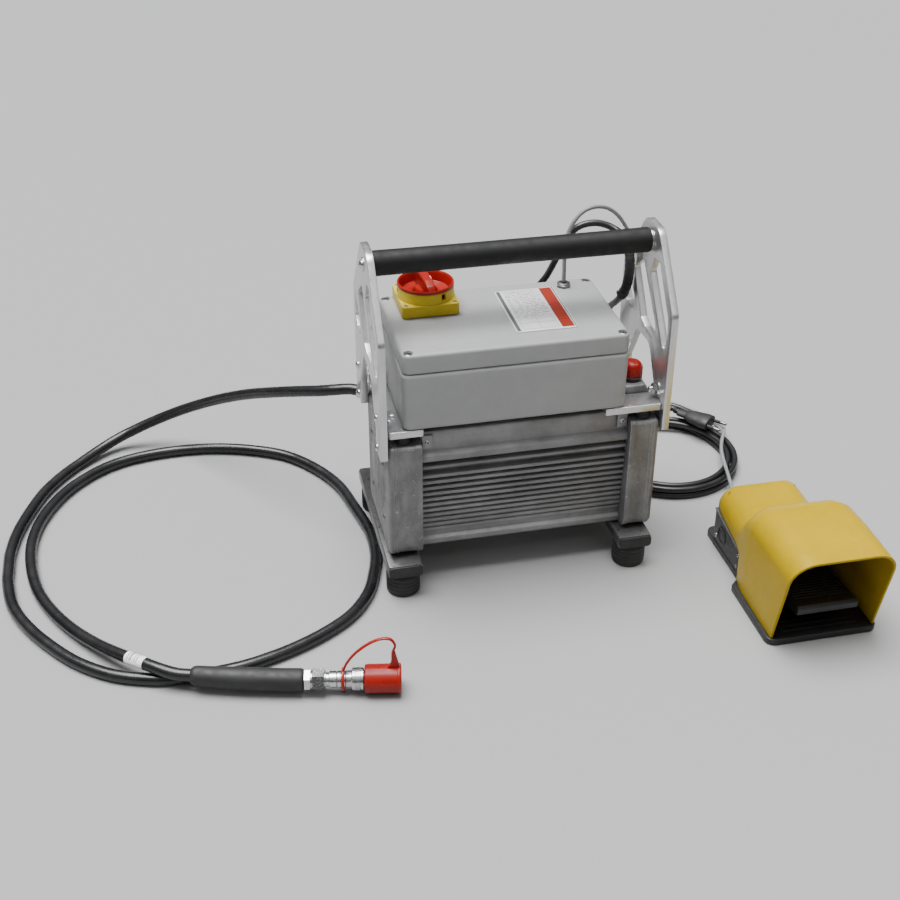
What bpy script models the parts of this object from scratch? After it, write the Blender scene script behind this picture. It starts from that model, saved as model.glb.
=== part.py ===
"""Portable electric hydraulic power unit with a foot switch, a hose with a quick coupler and a mains lead.

Lengths below are millimetres in the unit's own axes: X runs along the finned motor body, Y from the front
to the rear and Z up. X is 0 midway between the handle brackets, Y is 0 at the middle of the switch enclosure
and Z is 0 on the floor. The empty UNIT moves all of it, so that the origin is the middle of the footprint of
the power unit and its foot switch together.
"""

import math

import bmesh
import bpy
from mathutils import Vector

MM = 0.001
GAP = 0.3  # between touching pieces
CORD_GAP = 0.6  # between a cord's end, which may meet its gland at a slight angle, and the gland
END_STEP = 5.0  # from each end of a cord to the next point along it

# Motor body and its end castings
BODY_X = (-115.7, 119.7)
BODY_TOP, BODY_BOTTOM = 200.0, 48.0
BODY_BORE = 50.0
BODY_BORE_Z = 122.0
FIN_COUNT = 12
FIN_ROOT, FIN_THICK = 56.0, 3.4
CAST_LEFT_X = (-154.0, -116.0)
CAST_RIGHT_X = (120.0, 154.0)
CAST_Y = (-76.0, 62.0)
CAST_Z = (45.3, 190.0)
CAST_CORNER = 14.0

# Base rails and feet
RAIL_LEFT_X = (-159.0, -120.0)
RAIL_RIGHT_X = (111.0, 150.0)
RAIL_Y = (-94.0, 121.0)
RAIL_Z = (30.3, 45.0)
RAIL_WALL = 2.5
FOOT_RADIUS, FOOT_HEIGHT = 19.3, 30.0
FOOT_Y = (-72.0, 100.0)

# Handle frame
BRACKET_INNER, BRACKET_THICK = 154.5, 8.0
HANDLE_Y, HANDLE_Z = 2.0, 373.0
GRIP_RADIUS, ROD_RADIUS = 13.7, 7.7
HANDLE_HALF = 154.2

# Enclosure
BOX_X = (-136.7, 113.3)
BOX_HALF_Y = 75.0
BOX_BOTTOM, BOX_JOIN, BOX_TOP = 209.5, 277.3, 300.0
BOX_WALL, BOX_CORNER = 4.0, 9.0
GASKET_HALF = 0.6
LID_SCREW_X = (-128.7, 105.3)
LID_SCREW_Y = (-67.0, 67.0)

# Main switch on the lid
SWITCH_X, SWITCH_Y = -88.0, 42.0
SWITCH_SIDE = 64.0
SWITCH_PLATE_TOP = 314.0
KNOB_RADIUS, KNOB_BASE, KNOB_FACE, KNOB_TOP = 31.5, 325.8, 329.4, 336.0
SHAFT_RADIUS = 3.0

# Where the cables leave the enclosure
LID_GLAND = (75.4, 56.4)
LID_GLAND_TOP = 305.2
MAINS_GLAND = (60.0, 245.0)
MAINS_GLAND_END = 99.0

# Filler on the right casting
FILLER_X, FILLER_Y = 135.0, -25.0
NECK_TOP, CAP_TOP, CAP_RADIUS = 217.5, 240.5, 12.0

# Outlet, hose and coupler
MANIFOLD = [(-117, 62.3), (-117, 108), (-132, 108), (-150, 73), (-150, 62.3)]
OUTLET_START = (-141.0, 90.5, 168.0)
OUTLET_DIRECTION = Vector((-35.0, 18.0, 0.0)).normalized()
OUTLET_LENGTH = 20.0
HOSE_RADIUS = 6.75
COUPLER_START = (-272.3, -223.8, 16.6)
COUPLER_DIRECTION = Vector((98.4, -18.4, 0.0)).normalized()
NUT_END, NIPPLE_END, COLLAR_START, COLLAR_END, CAP_END = 21.6, 34.0, 49.4, 62.4, 100.6
EAR_TOP = 36.0

# Mains lead, its coil and plug, and the foot switch's lead
MAINS_RADIUS = 4.0
LEAD_RADIUS = 2.3
COIL_CENTRE = (250.0, 122.0)
COIL_INNER, COIL_OUTER, COIL_HEIGHT = 74.0, 92.0, 16.8
PLUG_RADIUS, PLUG_LENGTH, PLUG_FLATTENING = 15.0, 36.0, 0.58

# Foot switch
PEDAL_X = 291.5
PEDAL_REAR, PEDAL_FRONT = -41.0, -259.0
PEDAL_BASE_HALF, PEDAL_FRONT_HALF, PEDAL_BASE_THICK = 51.0, 65.0, 8.0
PEDAL_BODY_Y = (-145.0, -62.0)
TREAD_PIN_Y, TREAD_PIN_Z = -154.0, 27.0
TREAD_HALF = 35.0
PEDAL_GLAND_X, PEDAL_GLAND_Z = 280.0, 30.0

# The footprint's middle becomes the origin
FOOTPRINT_X = (-BRACKET_INNER - BRACKET_THICK, PEDAL_X + PEDAL_FRONT_HALF)
FOOTPRINT_Y = (-280.0, RAIL_Y[1])

# Free cords: points chosen along each route
HOSE_ROUTE = [
    (-170, 105.4, 167.8), (-202, 121, 160.5), (-245, 161, 142), (-291, 217, 112), (-341, 269, 76),
    (-394, 303, 42), (-451, 306, 17), (-503, 268, 7.2), (-540, 219, 6.9), (-562, 168, 6.9),
    (-577, 115, 6.9), (-583, 61, 6.9), (-581, 20, 6.9), (-573, -24, 6.9), (-554, -66, 6.9),
    (-527, -106, 6.9), (-500, -137, 6.9), (-467, -162, 6.9), (-433, -176, 6.9), (-405, -182, 6.9),
    (-375, -182, 6.9), (-346, -180, 6.9), (-315, -174, 6.9), (-275, -160, 6.9), (-237, -140, 6.9),
    (-206, -116, 6.9), (-183, -84, 6.9), (-170, -49, 6.9), (-161, -9, 6.9), (-160, 38, 6.9),
    (-170, 95, 6.9), (-181, 144, 6.9), (-204, 190, 6.9), (-238, 230, 6.9), (-281, 254, 6.9),
    (-330, 269, 6.9), (-382, 273, 6.9), (-434, 266, 6.9), (-473, 249, 6.9), (-506, 220, 6.9),
    (-530, 186, 6.9), (-548, 145, 6.9), (-557, 102, 6.9), (-557, 57, 6.9), (-549, 8, 6.9),
    (-534, -33, 7.2), (-511, -75, 9), (-485, -112, 13), (-461, -141, 18), (-434, -167, 21.4),
    (-413, -183.5, 21.0), (-399, -190.4, 19.2),
]
MAINS_ROUTE = [
    (60, 112, 246), (60.5, 121, 256), (65, 122, 270), (74, 117, 287), (81, 106, 313), (86, 99, 331),
    (92, 95, 346), (99, 93.5, 353.5), (109, 93, 357.5), (122, 92, 358.5), (134, 88.5, 356),
    (142.5, 82, 352.5), (146.5, 73, 350.5), (147.5, 62, 348.5), (147.5, 51, 344), (147.5, 43.5, 335.5),
    (147.5, 41, 324), (147.5, 42, 311), (147, 46, 297), (145.5, 54, 283), (143, 65, 270), (141.5, 77, 259.5),
    (141, 88, 245), (143, 98, 225), (146.5, 108, 190), (149, 120, 140), (152, 135, 85), (157, 156, 38),
    (165.5, 184, 12), (181, 208.5, 4.3), (207, 236, 4.3), (240, 256, 4.3), (275, 263, 4.3), (303, 254, 4.3),
    (319, 236, 4.3), (328, 212, 4.3),
]
LEAD_ROUTE = [
    (75.3, 56.4, 316), (75, 56.8, 330), (75.5, 57.5, 347), (78, 59, 361), (82.5, 60, 371.5),
    (89.5, 60.5, 381.5), (98.5, 61.5, 388.2), (110, 63.5, 390), (122, 67, 387.3), (133, 72.5, 380.5),
    (143, 79, 371), (152, 84.5, 359.5), (160, 87, 346), (165, 87.5, 331), (167, 87.5, 312), (166, 88, 290),
    (162, 91, 272), (155, 98, 255), (146.5, 105.5, 238), (139.5, 110.5, 215), (135.5, 113.5, 185),
    (135, 121, 135), (139, 133, 82), (144, 153, 36), (153.5, 185, 10), (174, 215, 2.6), (203, 243, 2.6),
    (238, 263.5, 2.6), (276, 270, 2.6), (308, 260, 2.6), (328, 240, 2.6), (340, 217, 3), (347, 196, 5),
    (348, 178, 10), (345, 162, 15.5), (339, 146, 19.6), (328, 127, 20.4), (319, 107, 20.4), (313, 89, 20.4),
    (309, 72, 20.4), (305, 54, 20.4), (299, 29, 21), (292, 7, 24), (284, -10, 28),
]


def mm(*values):
    return Vector(values) * MM


def clear_scene():
    for obj in list(bpy.data.objects):
        bpy.data.objects.remove(obj, do_unlink=True)


def new_collection(name):
    made = bpy.data.collections.new(name)
    bpy.context.scene.collection.children.link(made)
    return made


clear_scene()
PARTS = new_collection("hydraulic_power_unit")
CUTTERS = new_collection("cutters")


def empty(name, at, parent=None, direction=None):
    """An empty at a point, with its Z axis along direction where one is given."""
    made = bpy.data.objects.new(name, None)
    PARTS.objects.link(made)
    made.parent = parent
    made.location = mm(*at)
    made.empty_display_size = 0.02
    if direction is not None:
        made.rotation_euler = direction.to_track_quat("Z", "Y").to_euler()
    return made


UNIT = empty("unit", (-sum(FOOTPRINT_X) / 2, -sum(FOOTPRINT_Y) / 2, 0))

AXIS_TURN = {
    "X": (0, math.pi / 2, 0),
    "Y": (-math.pi / 2, 0, 0),
    "Z": (0, 0, 0),
}
PLANE_TURN = {
    "XY": (0, 0, 0),
    "YZ": (math.pi / 2, 0, math.pi / 2),
    "XZ": (math.pi / 2, 0, 0),
}


# ---------------------------------------------------------------- materials
def material(name, colour, roughness, metallic=0.0):
    made = bpy.data.materials.new(name)
    made.use_nodes = True
    shader = made.node_tree.nodes["Principled BSDF"]
    shader.inputs["Base Color"].default_value = (*colour, 1)
    shader.inputs["Roughness"].default_value = roughness
    shader.inputs["Metallic"].default_value = metallic
    made.diffuse_color = (*colour, 1)
    return made


CAST_ALUMINIUM = material("cast_aluminium", (0.32, 0.32, 0.32), 0.55, 0.9)
PLATE_ALUMINIUM = material("plate_aluminium", (0.52, 0.52, 0.53), 0.35, 1.0)
STEEL = material("steel", (0.55, 0.55, 0.56), 0.3, 1.0)
GREY_PAINT = material("grey_paint", (0.50, 0.51, 0.52), 0.5)
YELLOW_PLASTIC = material("yellow_plastic", (0.90, 0.66, 0.02), 0.4)
RED_PLASTIC = material("red_plastic", (0.55, 0.04, 0.02), 0.35)
BLACK_PLASTIC = material("black_plastic", (0.03, 0.03, 0.032), 0.5)
BLACK_RUBBER = material("black_rubber", (0.02, 0.02, 0.02), 0.6)
HOSE_RUBBER = material("hose_rubber", (0.015, 0.015, 0.016), 0.35)
GREY_CABLE = material("grey_cable", (0.36, 0.36, 0.37), 0.45)
LABEL_FOIL = material("label_foil", (0.62, 0.62, 0.64), 0.4, 0.6)
COPPER = material("copper_winding", (0.60, 0.26, 0.12), 0.4, 1.0)


# ------------------------------------------------------------ shape helpers
def place(obj, finish, at, turn=(0, 0, 0), parent=None):
    PARTS.objects.link(obj)
    obj.parent = parent or UNIT
    obj.location = mm(*at)
    obj.rotation_euler = turn
    obj.data.materials.append(finish)
    return obj


def mesh_object(name, bm):
    mesh = bpy.data.meshes.new(name)
    bm.to_mesh(mesh)
    bm.free()
    return bpy.data.objects.new(name, mesh)


def smooth(obj, angle=35):
    obj.data.shade_smooth()
    obj.data.set_sharp_from_angle(angle=math.radians(angle))
    return obj


def box(name, finish, low, high, parent=None):
    low, high = Vector(low), Vector(high)
    bm = bmesh.new()
    bmesh.ops.create_cube(bm, size=1)
    bmesh.ops.scale(bm, vec=(high - low) * MM, verts=bm.verts)
    return place(mesh_object(name, bm), finish, (low + high) / 2, parent=parent)


def rod(name, finish, radius, length, at, axis="Z", sides=32, parent=None):
    """A cylinder centred on a point."""
    bm = bmesh.new()
    bmesh.ops.create_cone(
        bm, cap_ends=True, segments=sides, radius1=radius * MM, radius2=radius * MM, depth=length * MM
    )
    obj = place(mesh_object(name, bm), finish, at, AXIS_TURN[axis], parent)
    return smooth(obj)


def turned(name, finish, profile, at=(0, 0, 0), axis="Z", sides=32, ring=False, parent=None):
    """A lathe shape: profile holds (radius, height) from the top down its outer side; a ring's profile closes."""
    bm = bmesh.new()
    points = [bm.verts.new(mm(radius, 0, height)) for radius, height in profile]
    for start, end in zip(points, points[1:]):
        bm.edges.new((start, end))
    if ring:
        bm.edges.new((points[-1], points[0]))
    obj = place(mesh_object(name, bm), finish, at, AXIS_TURN[axis], parent)
    screw = obj.modifiers.new("lathe", "SCREW")
    screw.steps = screw.render_steps = sides
    screw.use_merge_vertices = True
    screw.merge_threshold = 0.00005
    return obj


def arc(centre, radius, start, end, count):
    """Points on an arc between two angles in degrees."""
    turn = [math.radians(start + (end - start) * i / count) for i in range(count + 1)]
    return [(centre[0] + radius * math.cos(a), centre[1] + radius * math.sin(a)) for a in turn]


def rounded(corners, radius=0.0, steps=4):
    """The outline with each corner turned into an arc; a corner may name its own radius as a third value."""
    outline = []
    count = len(corners)
    for i, corner in enumerate(corners):
        here = Vector(corner[:2])
        own = corner[2] if len(corner) > 2 else radius
        if own <= 0:
            outline.append(tuple(here))
            continue
        before = Vector(corners[i - 1][:2]) - here
        after = Vector(corners[(i + 1) % count][:2]) - here
        half = before.angle(after) / 2
        own = min(own, 0.45 * math.tan(half) * min(before.length, after.length))
        before.normalize()
        after.normalize()
        middle = here + (before + after).normalized() * own / math.sin(half)
        first = here + before * own / math.tan(half) - middle
        sweep = first.angle_signed(here + after * own / math.tan(half) - middle)
        pieces = max(1, min(steps, int(own * abs(sweep) / 0.8)))
        for step in range(pieces + 1):
            turn = -sweep * step / pieces
            x = first.x * math.cos(turn) - first.y * math.sin(turn)
            y = first.x * math.sin(turn) + first.y * math.cos(turn)
            outline.append((middle.x + x, middle.y + y))
    return outline


def plate(name, finish, outline, thickness, at=(0, 0, 0), plane="XY", holes=(), parent=None):
    """A flat outline with holes, its thickness centred on the point."""
    curve = bpy.data.curves.new(name, "CURVE")
    curve.dimensions = "2D"
    curve.fill_mode = "BOTH"
    curve.extrude = thickness / 2 * MM
    for ring in (outline, *holes):
        spline = curve.splines.new("POLY")
        spline.points.add(len(ring) - 1)
        for point, (x, y) in zip(spline.points, ring):
            point.co = (x * MM, y * MM, 0, 1)
        spline.use_cyclic_u = True
    return place(bpy.data.objects.new(name, curve), finish, at, PLANE_TURN[plane], parent)


def as_mesh(curve_object):
    """The curve object as a welded mesh object of the same name and place."""
    bpy.context.view_layer.update()
    graph = bpy.context.evaluated_depsgraph_get()
    mesh = bpy.data.meshes.new_from_object(curve_object.evaluated_get(graph))
    bm = bmesh.new()
    bm.from_mesh(mesh)
    bmesh.ops.remove_doubles(bm, verts=bm.verts, dist=0.00001)
    bm.to_mesh(mesh)
    bm.free()
    name, parent = curve_object.name, curve_object.parent
    local = curve_object.matrix_local.copy()
    bpy.data.objects.remove(curve_object, do_unlink=True)
    obj = bpy.data.objects.new(name, mesh)
    PARTS.objects.link(obj)
    obj.parent = parent
    obj.matrix_local = local
    return obj


def combine(obj, other, operation):
    """Cuts other from obj, or joins it on, and puts other away with the cutters."""
    modifier = obj.modifiers.new(operation.lower(), "BOOLEAN")
    modifier.operation = operation
    modifier.solver = "EXACT"
    modifier.object = other
    PARTS.objects.unlink(other)
    CUTTERS.objects.link(other)
    other.hide_render = True
    other.display_type = "WIRE"
    return obj


def cut(obj, cutter):
    return combine(obj, cutter, "DIFFERENCE")


def join(obj, other):
    return combine(obj, other, "UNION")


def smooth_route(points, spacing, floor):
    """Points every spacing along one smooth curve through the given points, none lower than floor.

    One more point stands just inside each end, so that the end faces are square to the curve.
    """
    points = [Vector(p) for p in points]
    ends = [2 * points[0] - points[1], *points, 2 * points[-1] - points[-2]]
    fine = []
    for a, b, c, d in zip(ends, ends[1:], ends[2:], ends[3:]):
        for step in range(16):
            t = step / 16
            bend = (2 * a - 5 * b + 4 * c - d) * t * t + (3 * b - a - 3 * c + d) * t**3
            fine.append(b + ((c - a) * t + bend) / 2)
    fine.append(points[-1])
    walked = [0.0]
    for start, end in zip(fine, fine[1:]):
        walked.append(walked[-1] + (end - start).length)
    whole = walked[-1]
    count = round(whole / spacing)
    inside = [whole * step / count for step in range(1, count)]
    route, i = [], 0
    for target in (0, END_STEP, *inside, whole - END_STEP, whole):
        while i < len(walked) - 2 and walked[i + 1] < target:
            i += 1
        point = fine[i].lerp(fine[i + 1], (target - walked[i]) / (walked[i + 1] - walked[i]))
        point.z = max(point.z, floor)
        route.append(point)
    return route


def tube(name, finish, points, radius, resolution=2, widths=None, parent=None):
    """A round tube along a route; widths scale the radius at each point."""
    curve = bpy.data.curves.new(name, "CURVE")
    curve.dimensions = "3D"
    curve.bevel_depth = radius * MM
    curve.bevel_resolution = resolution
    curve.use_fill_caps = True
    spline = curve.splines.new("POLY")
    spline.points.add(len(points) - 1)
    for i, point in enumerate(points):
        spline.points[i].co = (*mm(*point), 1)
        spline.points[i].radius = widths[i] if widths else 1
    return place(bpy.data.objects.new(name, curve), finish, (0, 0, 0), parent=parent)


# -------------------------------------------------------------- motor body
def fin_middles():
    """Heights of the fins: the top one stands apart, and the rest close up towards the bottom."""
    return [155.0] + [142 - 8.5 * i + 0.1 * i * i for i in range(FIN_COUNT - 1)]


def body_side():
    """The rear half of the body's section from the top down, as (y, z)."""
    side = [(63, BODY_TOP), (63, 176), (69, 171), (69, 164), (FIN_ROOT, 163)]
    for middle in fin_middles():
        reach = 58 + 8 * (middle - 67) / 88
        half = FIN_THICK / 2
        side += [
            (FIN_ROOT, middle + half + 0.6), (reach, middle + half - 0.3),
            (reach, middle - half + 0.3), (FIN_ROOT, middle - half - 0.6),
        ]
    return side + [(FIN_ROOT, 58), (60, 55), (60, BODY_BOTTOM)]


def make_motor_body():
    side = body_side()
    outline = side + [(-y, z) for y, z in reversed(side)]
    middle, length = sum(BODY_X) / 2, BODY_X[1] - BODY_X[0]
    bore = arc((0, BODY_BORE_Z), BODY_BORE, 0, 352.5, 47)
    plate("motor_body", CAST_ALUMINIUM, outline, length, (middle, 0, 0), "YZ", [bore])


def make_casting(name, x_range):
    corners = [
        (CAST_Y[0], CAST_Z[0], CAST_CORNER), (CAST_Y[1], CAST_Z[0], CAST_CORNER),
        (CAST_Y[1], CAST_Z[1], 5), (CAST_Y[0], CAST_Z[1], 5),
    ]
    middle, width = sum(x_range) / 2, x_range[1] - x_range[0]
    plate(name, CAST_ALUMINIUM, rounded(corners), width, (middle, 0, 0), "YZ")


def make_motor_inside():
    """Stator, rotor on its shaft, and the pump that the shaft drives, all inside the body's bore."""
    stator = [(BODY_BORE - 0.4, 75), (BODY_BORE - 0.4, -75), (27, -75), (27, 75)]
    turned("motor_stator", COPPER, stator, (-35, 0, BODY_BORE_Z), "X", ring=True)
    rotor = [(0, 90), (8, 90), (8, 70), (26.3, 70), (26.3, -70), (8, -70), (8, -78), (0, -78)]
    turned("motor_rotor", STEEL, rotor, (-35, 0, BODY_BORE_Z), "X")
    pump = [(BODY_BORE - 0.4, 30), (BODY_BORE - 0.4, -30), (8.4, -30), (8.4, 30)]
    turned("pump_block", CAST_ALUMINIUM, pump, (80, 0, BODY_BORE_Z), "X", ring=True)


# ------------------------------------------------------------ base and feet
def make_rail(name, x_range):
    width, height = x_range[1] - x_range[0], RAIL_Z[1] - RAIL_Z[0]
    x, z = width / 2, height / 2
    outer = [(-x, -z), (x, -z), (x, z), (-x, z)]
    inner = [(px * (1 - RAIL_WALL / x), pz * (1 - RAIL_WALL / z)) for px, pz in outer]
    at = (sum(x_range) / 2, sum(RAIL_Y) / 2, sum(RAIL_Z) / 2)
    plate(name, PLATE_ALUMINIUM, outer, RAIL_Y[1] - RAIL_Y[0], at, "XZ", [inner])


def make_feet():
    profile = [(0, 30), (16, 30), (18.6, 28), (FOOT_RADIUS, 24), (FOOT_RADIUS, 3), (17.6, 0), (0, 0)]
    for side, x_range in (("left", RAIL_LEFT_X), ("right", RAIL_RIGHT_X)):
        for end, y in zip(("front", "rear"), FOOT_Y):
            turned(f"foot_{end}_{side}", BLACK_RUBBER, profile, (sum(x_range) / 2, y, 0))


# ------------------------------------------------------------- handle frame
def bracket_outline():
    half = [(80, 177, 3), (80, 317, 12), (20, 393, 16)]
    arch = [(50, 177, 3), (50, 207, 10), (21, 256.5, 12)]
    right = [(-y, z, r) for y, z, r in half]
    left = [(y, z, r) for y, z, r in reversed(half)]
    inside = arch + [(-y, z, r) for y, z, r in reversed(arch)]
    return rounded(right + left + inside)


def bracket_slots():
    front = [(-15, 359), (-31, 359), (-68, 309), (-70, 292), (-65, 273, 2), (-59, 271, 2), (-4, 339)]
    middle = [(17, 343), (-33, 286), (-34, 280, 2), (-27, 269), (-4, 270), (11, 275), (46, 323)]
    rear = [(36, 272), (60, 274), (70, 283), (70, 312, 3), (62, 308, 3), (39, 291)]
    return [rounded(slot, 4) for slot in (front, middle, rear)]


def make_brackets():
    for side, sign in (("left", -1), ("right", 1)):
        x = sign * (BRACKET_INNER + BRACKET_THICK / 2)
        plate(f"bracket_{side}", PLATE_ALUMINIUM, bracket_outline(), BRACKET_THICK, (x, 0, 0), "YZ",
              bracket_slots())


def make_handle():
    at = (0, HANDLE_Y, HANDLE_Z)
    rod("handle_rod", STEEL, ROD_RADIUS, 2 * HANDLE_HALF, at, "X", 24)
    inner = ROD_RADIUS + GAP
    grip = [
        (GRIP_RADIUS - 1, HANDLE_HALF), (GRIP_RADIUS, HANDLE_HALF - 1), (GRIP_RADIUS, 1 - HANDLE_HALF),
        (GRIP_RADIUS - 1, -HANDLE_HALF), (inner, -HANDLE_HALF), (inner, HANDLE_HALF),
    ]
    turned("handle_grip", BLACK_RUBBER, grip, at, "X", ring=True)


# ------------------------------------------- supports under the enclosure
def make_supports():
    """Plates that carry the enclosure; the right one leaves room for the filler neck."""
    front, rear = -74, 62
    left = [(-152, front), (-114, front), (-114, rear), (-152, rear)]
    right = [(90, front), (154, front), (154, -45), (109, -45), (109, 35), (154, 35), (154, rear), (90, rear)]
    for side, outline in (("left", left), ("right", right)):
        plate(f"support_plate_{side}", PLATE_ALUMINIUM, rounded(outline, 2, 2), 8.2, (0, 0, 205.1))
    pad = [(0, 200.7), (10, 200.7), (10, 190.3), (0, 190.3)]
    for side, x in (("left", -135), ("right", 138)):
        for end, y in (("front", -60), ("rear", 49)):
            turned(f"isolator_{end}_{side}", BLACK_RUBBER, pad, (x, y, 0), sides=24)


# ---------------------------------------------------------------- enclosure
def box_outline(inset, corner):
    x0, x1, y = BOX_X[0] + inset, BOX_X[1] - inset, BOX_HALF_Y - inset
    return rounded([(x0, -y), (x1, -y), (x1, y), (x0, y)], corner)


def make_enclosure():
    base_top = BOX_JOIN - GASKET_HALF - GAP
    height = base_top - BOX_BOTTOM
    base = as_mesh(plate("enclosure_base", GREY_PAINT, box_outline(0, BOX_CORNER), height,
                         (0, 0, BOX_BOTTOM + height / 2)))
    hollow = as_mesh(plate("base_hollow", GREY_PAINT, box_outline(BOX_WALL, BOX_CORNER - BOX_WALL), height,
                           (0, 0, BOX_BOTTOM + BOX_WALL + height / 2)))
    cut(base, hollow)
    x, z = MAINS_GLAND
    cut(base, rod("mains_hole", GREY_PAINT, 8.0, 20, (x, BOX_HALF_Y, z), "Y"))

    lid_bottom = BOX_JOIN + GASKET_HALF + GAP
    height = BOX_TOP - lid_bottom
    lid = as_mesh(plate("enclosure_lid", GREY_PAINT, box_outline(0, BOX_CORNER), height,
                        (0, 0, lid_bottom + height / 2)))
    hollow = as_mesh(plate("lid_hollow", GREY_PAINT, box_outline(BOX_WALL, BOX_CORNER - BOX_WALL), height,
                           (0, 0, lid_bottom - BOX_WALL + height / 2)))
    cut(lid, hollow)
    cut(lid, rod("shaft_hole", GREY_PAINT, SHAFT_RADIUS + 1, 20, (SWITCH_X, SWITCH_Y, BOX_TOP), sides=24))

    plate("enclosure_gasket", BLACK_RUBBER, box_outline(0.8, BOX_CORNER - 0.8), 2 * GASKET_HALF,
          (0, 0, BOX_JOIN), holes=[box_outline(BOX_WALL, BOX_CORNER - BOX_WALL)])
    head = [(0, 302.2), (3, 302.2), (4.2, 301.4), (4.2, 300.3), (0, 300.3)]
    for i, x in enumerate(LID_SCREW_X):
        for j, y in enumerate(LID_SCREW_Y):
            name = f"lid_screw_{('front', 'rear')[j]}_{('left', 'right')[i]}"
            turned(name, STEEL, head, (x, y, 0), sides=16)
    box("contactor", BLACK_PLASTIC, (-50, -34, BOX_BOTTOM + BOX_WALL + GAP), (10, 26, 270))
    box("nameplate", LABEL_FOIL, (-6.5, -47, BOX_TOP + GAP), (62, 56, BOX_TOP + 1.2))


def make_glands():
    x, y = LID_GLAND
    top = LID_GLAND_TOP
    profile = [(0, top), (5.6, top), (7.4, top - 1.2), (7.8, top - 2.4), (7.8, 300.3), (0, 300.3)]
    turned("lid_gland", STEEL, profile, (x, y, 0), sides=24)
    x, z = MAINS_GLAND
    start, end = BOX_HALF_Y + GAP, MAINS_GLAND_END
    profile = [(0, end), (5.5, end), (10, end - 5), (11, end - 14), (11, start), (0, start)]
    turned("mains_gland", BLACK_PLASTIC, profile, (x, 0, z), "Y", 24)


# -------------------------------------------------------------- main switch
def make_switch():
    x, y, half = SWITCH_X, SWITCH_Y, SWITCH_SIDE / 2
    bottom = BOX_TOP + GAP
    square = rounded([(-half, -half), (half, -half), (half, half), (-half, half)], 5)
    hole = arc((0, 0), SHAFT_RADIUS + 0.5, 0, 337.5, 15)
    height = SWITCH_PLATE_TOP - bottom
    plate("switch_plate", YELLOW_PLASTIC, square, height, (x, y, bottom + height / 2), holes=[hole])
    low, high = SWITCH_PLATE_TOP + GAP, KNOB_BASE - GAP
    inner = SHAFT_RADIUS + 0.5
    collar = [(KNOB_RADIUS - 0.5, high), (KNOB_RADIUS, high - 0.5), (KNOB_RADIUS, low), (inner, low), (inner, high)]
    turned("switch_collar", YELLOW_PLASTIC, collar, (x, y, 0), sides=40, ring=True)
    bore = SHAFT_RADIUS + 0.1
    disc = [
        (0, KNOB_FACE), (KNOB_RADIUS - 1, KNOB_FACE), (KNOB_RADIUS, KNOB_FACE - 1), (KNOB_RADIUS, KNOB_BASE),
        (bore, KNOB_BASE), (bore, KNOB_FACE - 1.5), (0, KNOB_FACE - 1.5),
    ]
    knob = turned("switch_knob", RED_PLASTIC, disc, (x, y, 0), sides=40)
    bar = box("knob_bar", RED_PLASTIC, (x - 7, y - 26, KNOB_FACE - 1), (x + 7, y + 26, KNOB_TOP))
    join(knob, bar)
    length = 66
    rod("switch_shaft", STEEL, SHAFT_RADIUS, length, (x, y, KNOB_FACE - 1.8 - length / 2), sides=16)
    square = rounded([(-24, -22), (24, -22), (24, 22), (-24, 22)], 2, 1)
    plate("switch_body", BLACK_PLASTIC, square, 34, (x, y, 278.4), holes=[arc((0, 0), 3.3, 0, 337.5, 15)])


# ------------------------------------------------------------------- filler
def make_filler():
    outline = rounded([(120.1, 190.3, 2), (152, 190.3, 2), (152, 205, 6), (147, NECK_TOP, 4), (120.1, NECK_TOP, 4)])
    neck = as_mesh(plate("filler_neck", CAST_ALUMINIUM, outline, 36, (0, FILLER_Y, 0), "XZ"))
    cut(neck, rod("neck_bore", CAST_ALUMINIUM, 8.5, 30, (FILLER_X, FILLER_Y, NECK_TOP), sides=24))
    base = NECK_TOP + GAP
    cap = [
        (0, CAP_TOP), (5, CAP_TOP - 0.3), (9, CAP_TOP - 2.5), (11.4, CAP_TOP - 6), (CAP_RADIUS, CAP_TOP - 10),
        (CAP_RADIUS, base), (8.0, base), (8.0, base - 12), (0, base - 12),
    ]
    turned("filler_cap", RED_PLASTIC, cap, (FILLER_X, FILLER_Y, 0), sides=28)


# ----------------------------------------------------- outlet, hose, coupler
def make_outlet():
    plate("manifold_block", CAST_ALUMINIUM, MANIFOLD, 70, (0, 0, 150))
    line = empty("outlet_line", OUTLET_START, UNIT, OUTLET_DIRECTION)
    end = OUTLET_LENGTH
    profile = [(0, end), (8.2, end), (9, end - 1), (9, 10), (11, 9), (11, 1), (10, GAP), (0, GAP)]
    turned("outlet_fitting", STEEL, profile, sides=24, parent=line)


def make_hose():
    outlet = Vector(OUTLET_START) + OUTLET_DIRECTION * (OUTLET_LENGTH + CORD_GAP)
    sleeve_start = Vector((-385.5, -194.2, 18.6))
    hose_end = sleeve_start - Vector((56.6, -16, -1.5)).normalized() * CORD_GAP
    route = smooth_route([outlet, *HOSE_ROUTE, hose_end], 43, HOSE_RADIUS + 0.05)
    tube("hose", HOSE_RUBBER, route, HOSE_RADIUS)
    back = Vector(COUPLER_START) - COUPLER_DIRECTION * (GAP + 0.4)
    sleeve = [sleeve_start, Vector((-357, -202.8, 17.8)), Vector((-328.8, -210.2, 17.2)), (-300, -217.5, 16.8), back]
    tube("hose_grip_sleeve", BLACK_RUBBER, sleeve, 12.1, 3, (0.86, 0.93, 0.98, 1.0, 1.0))


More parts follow.
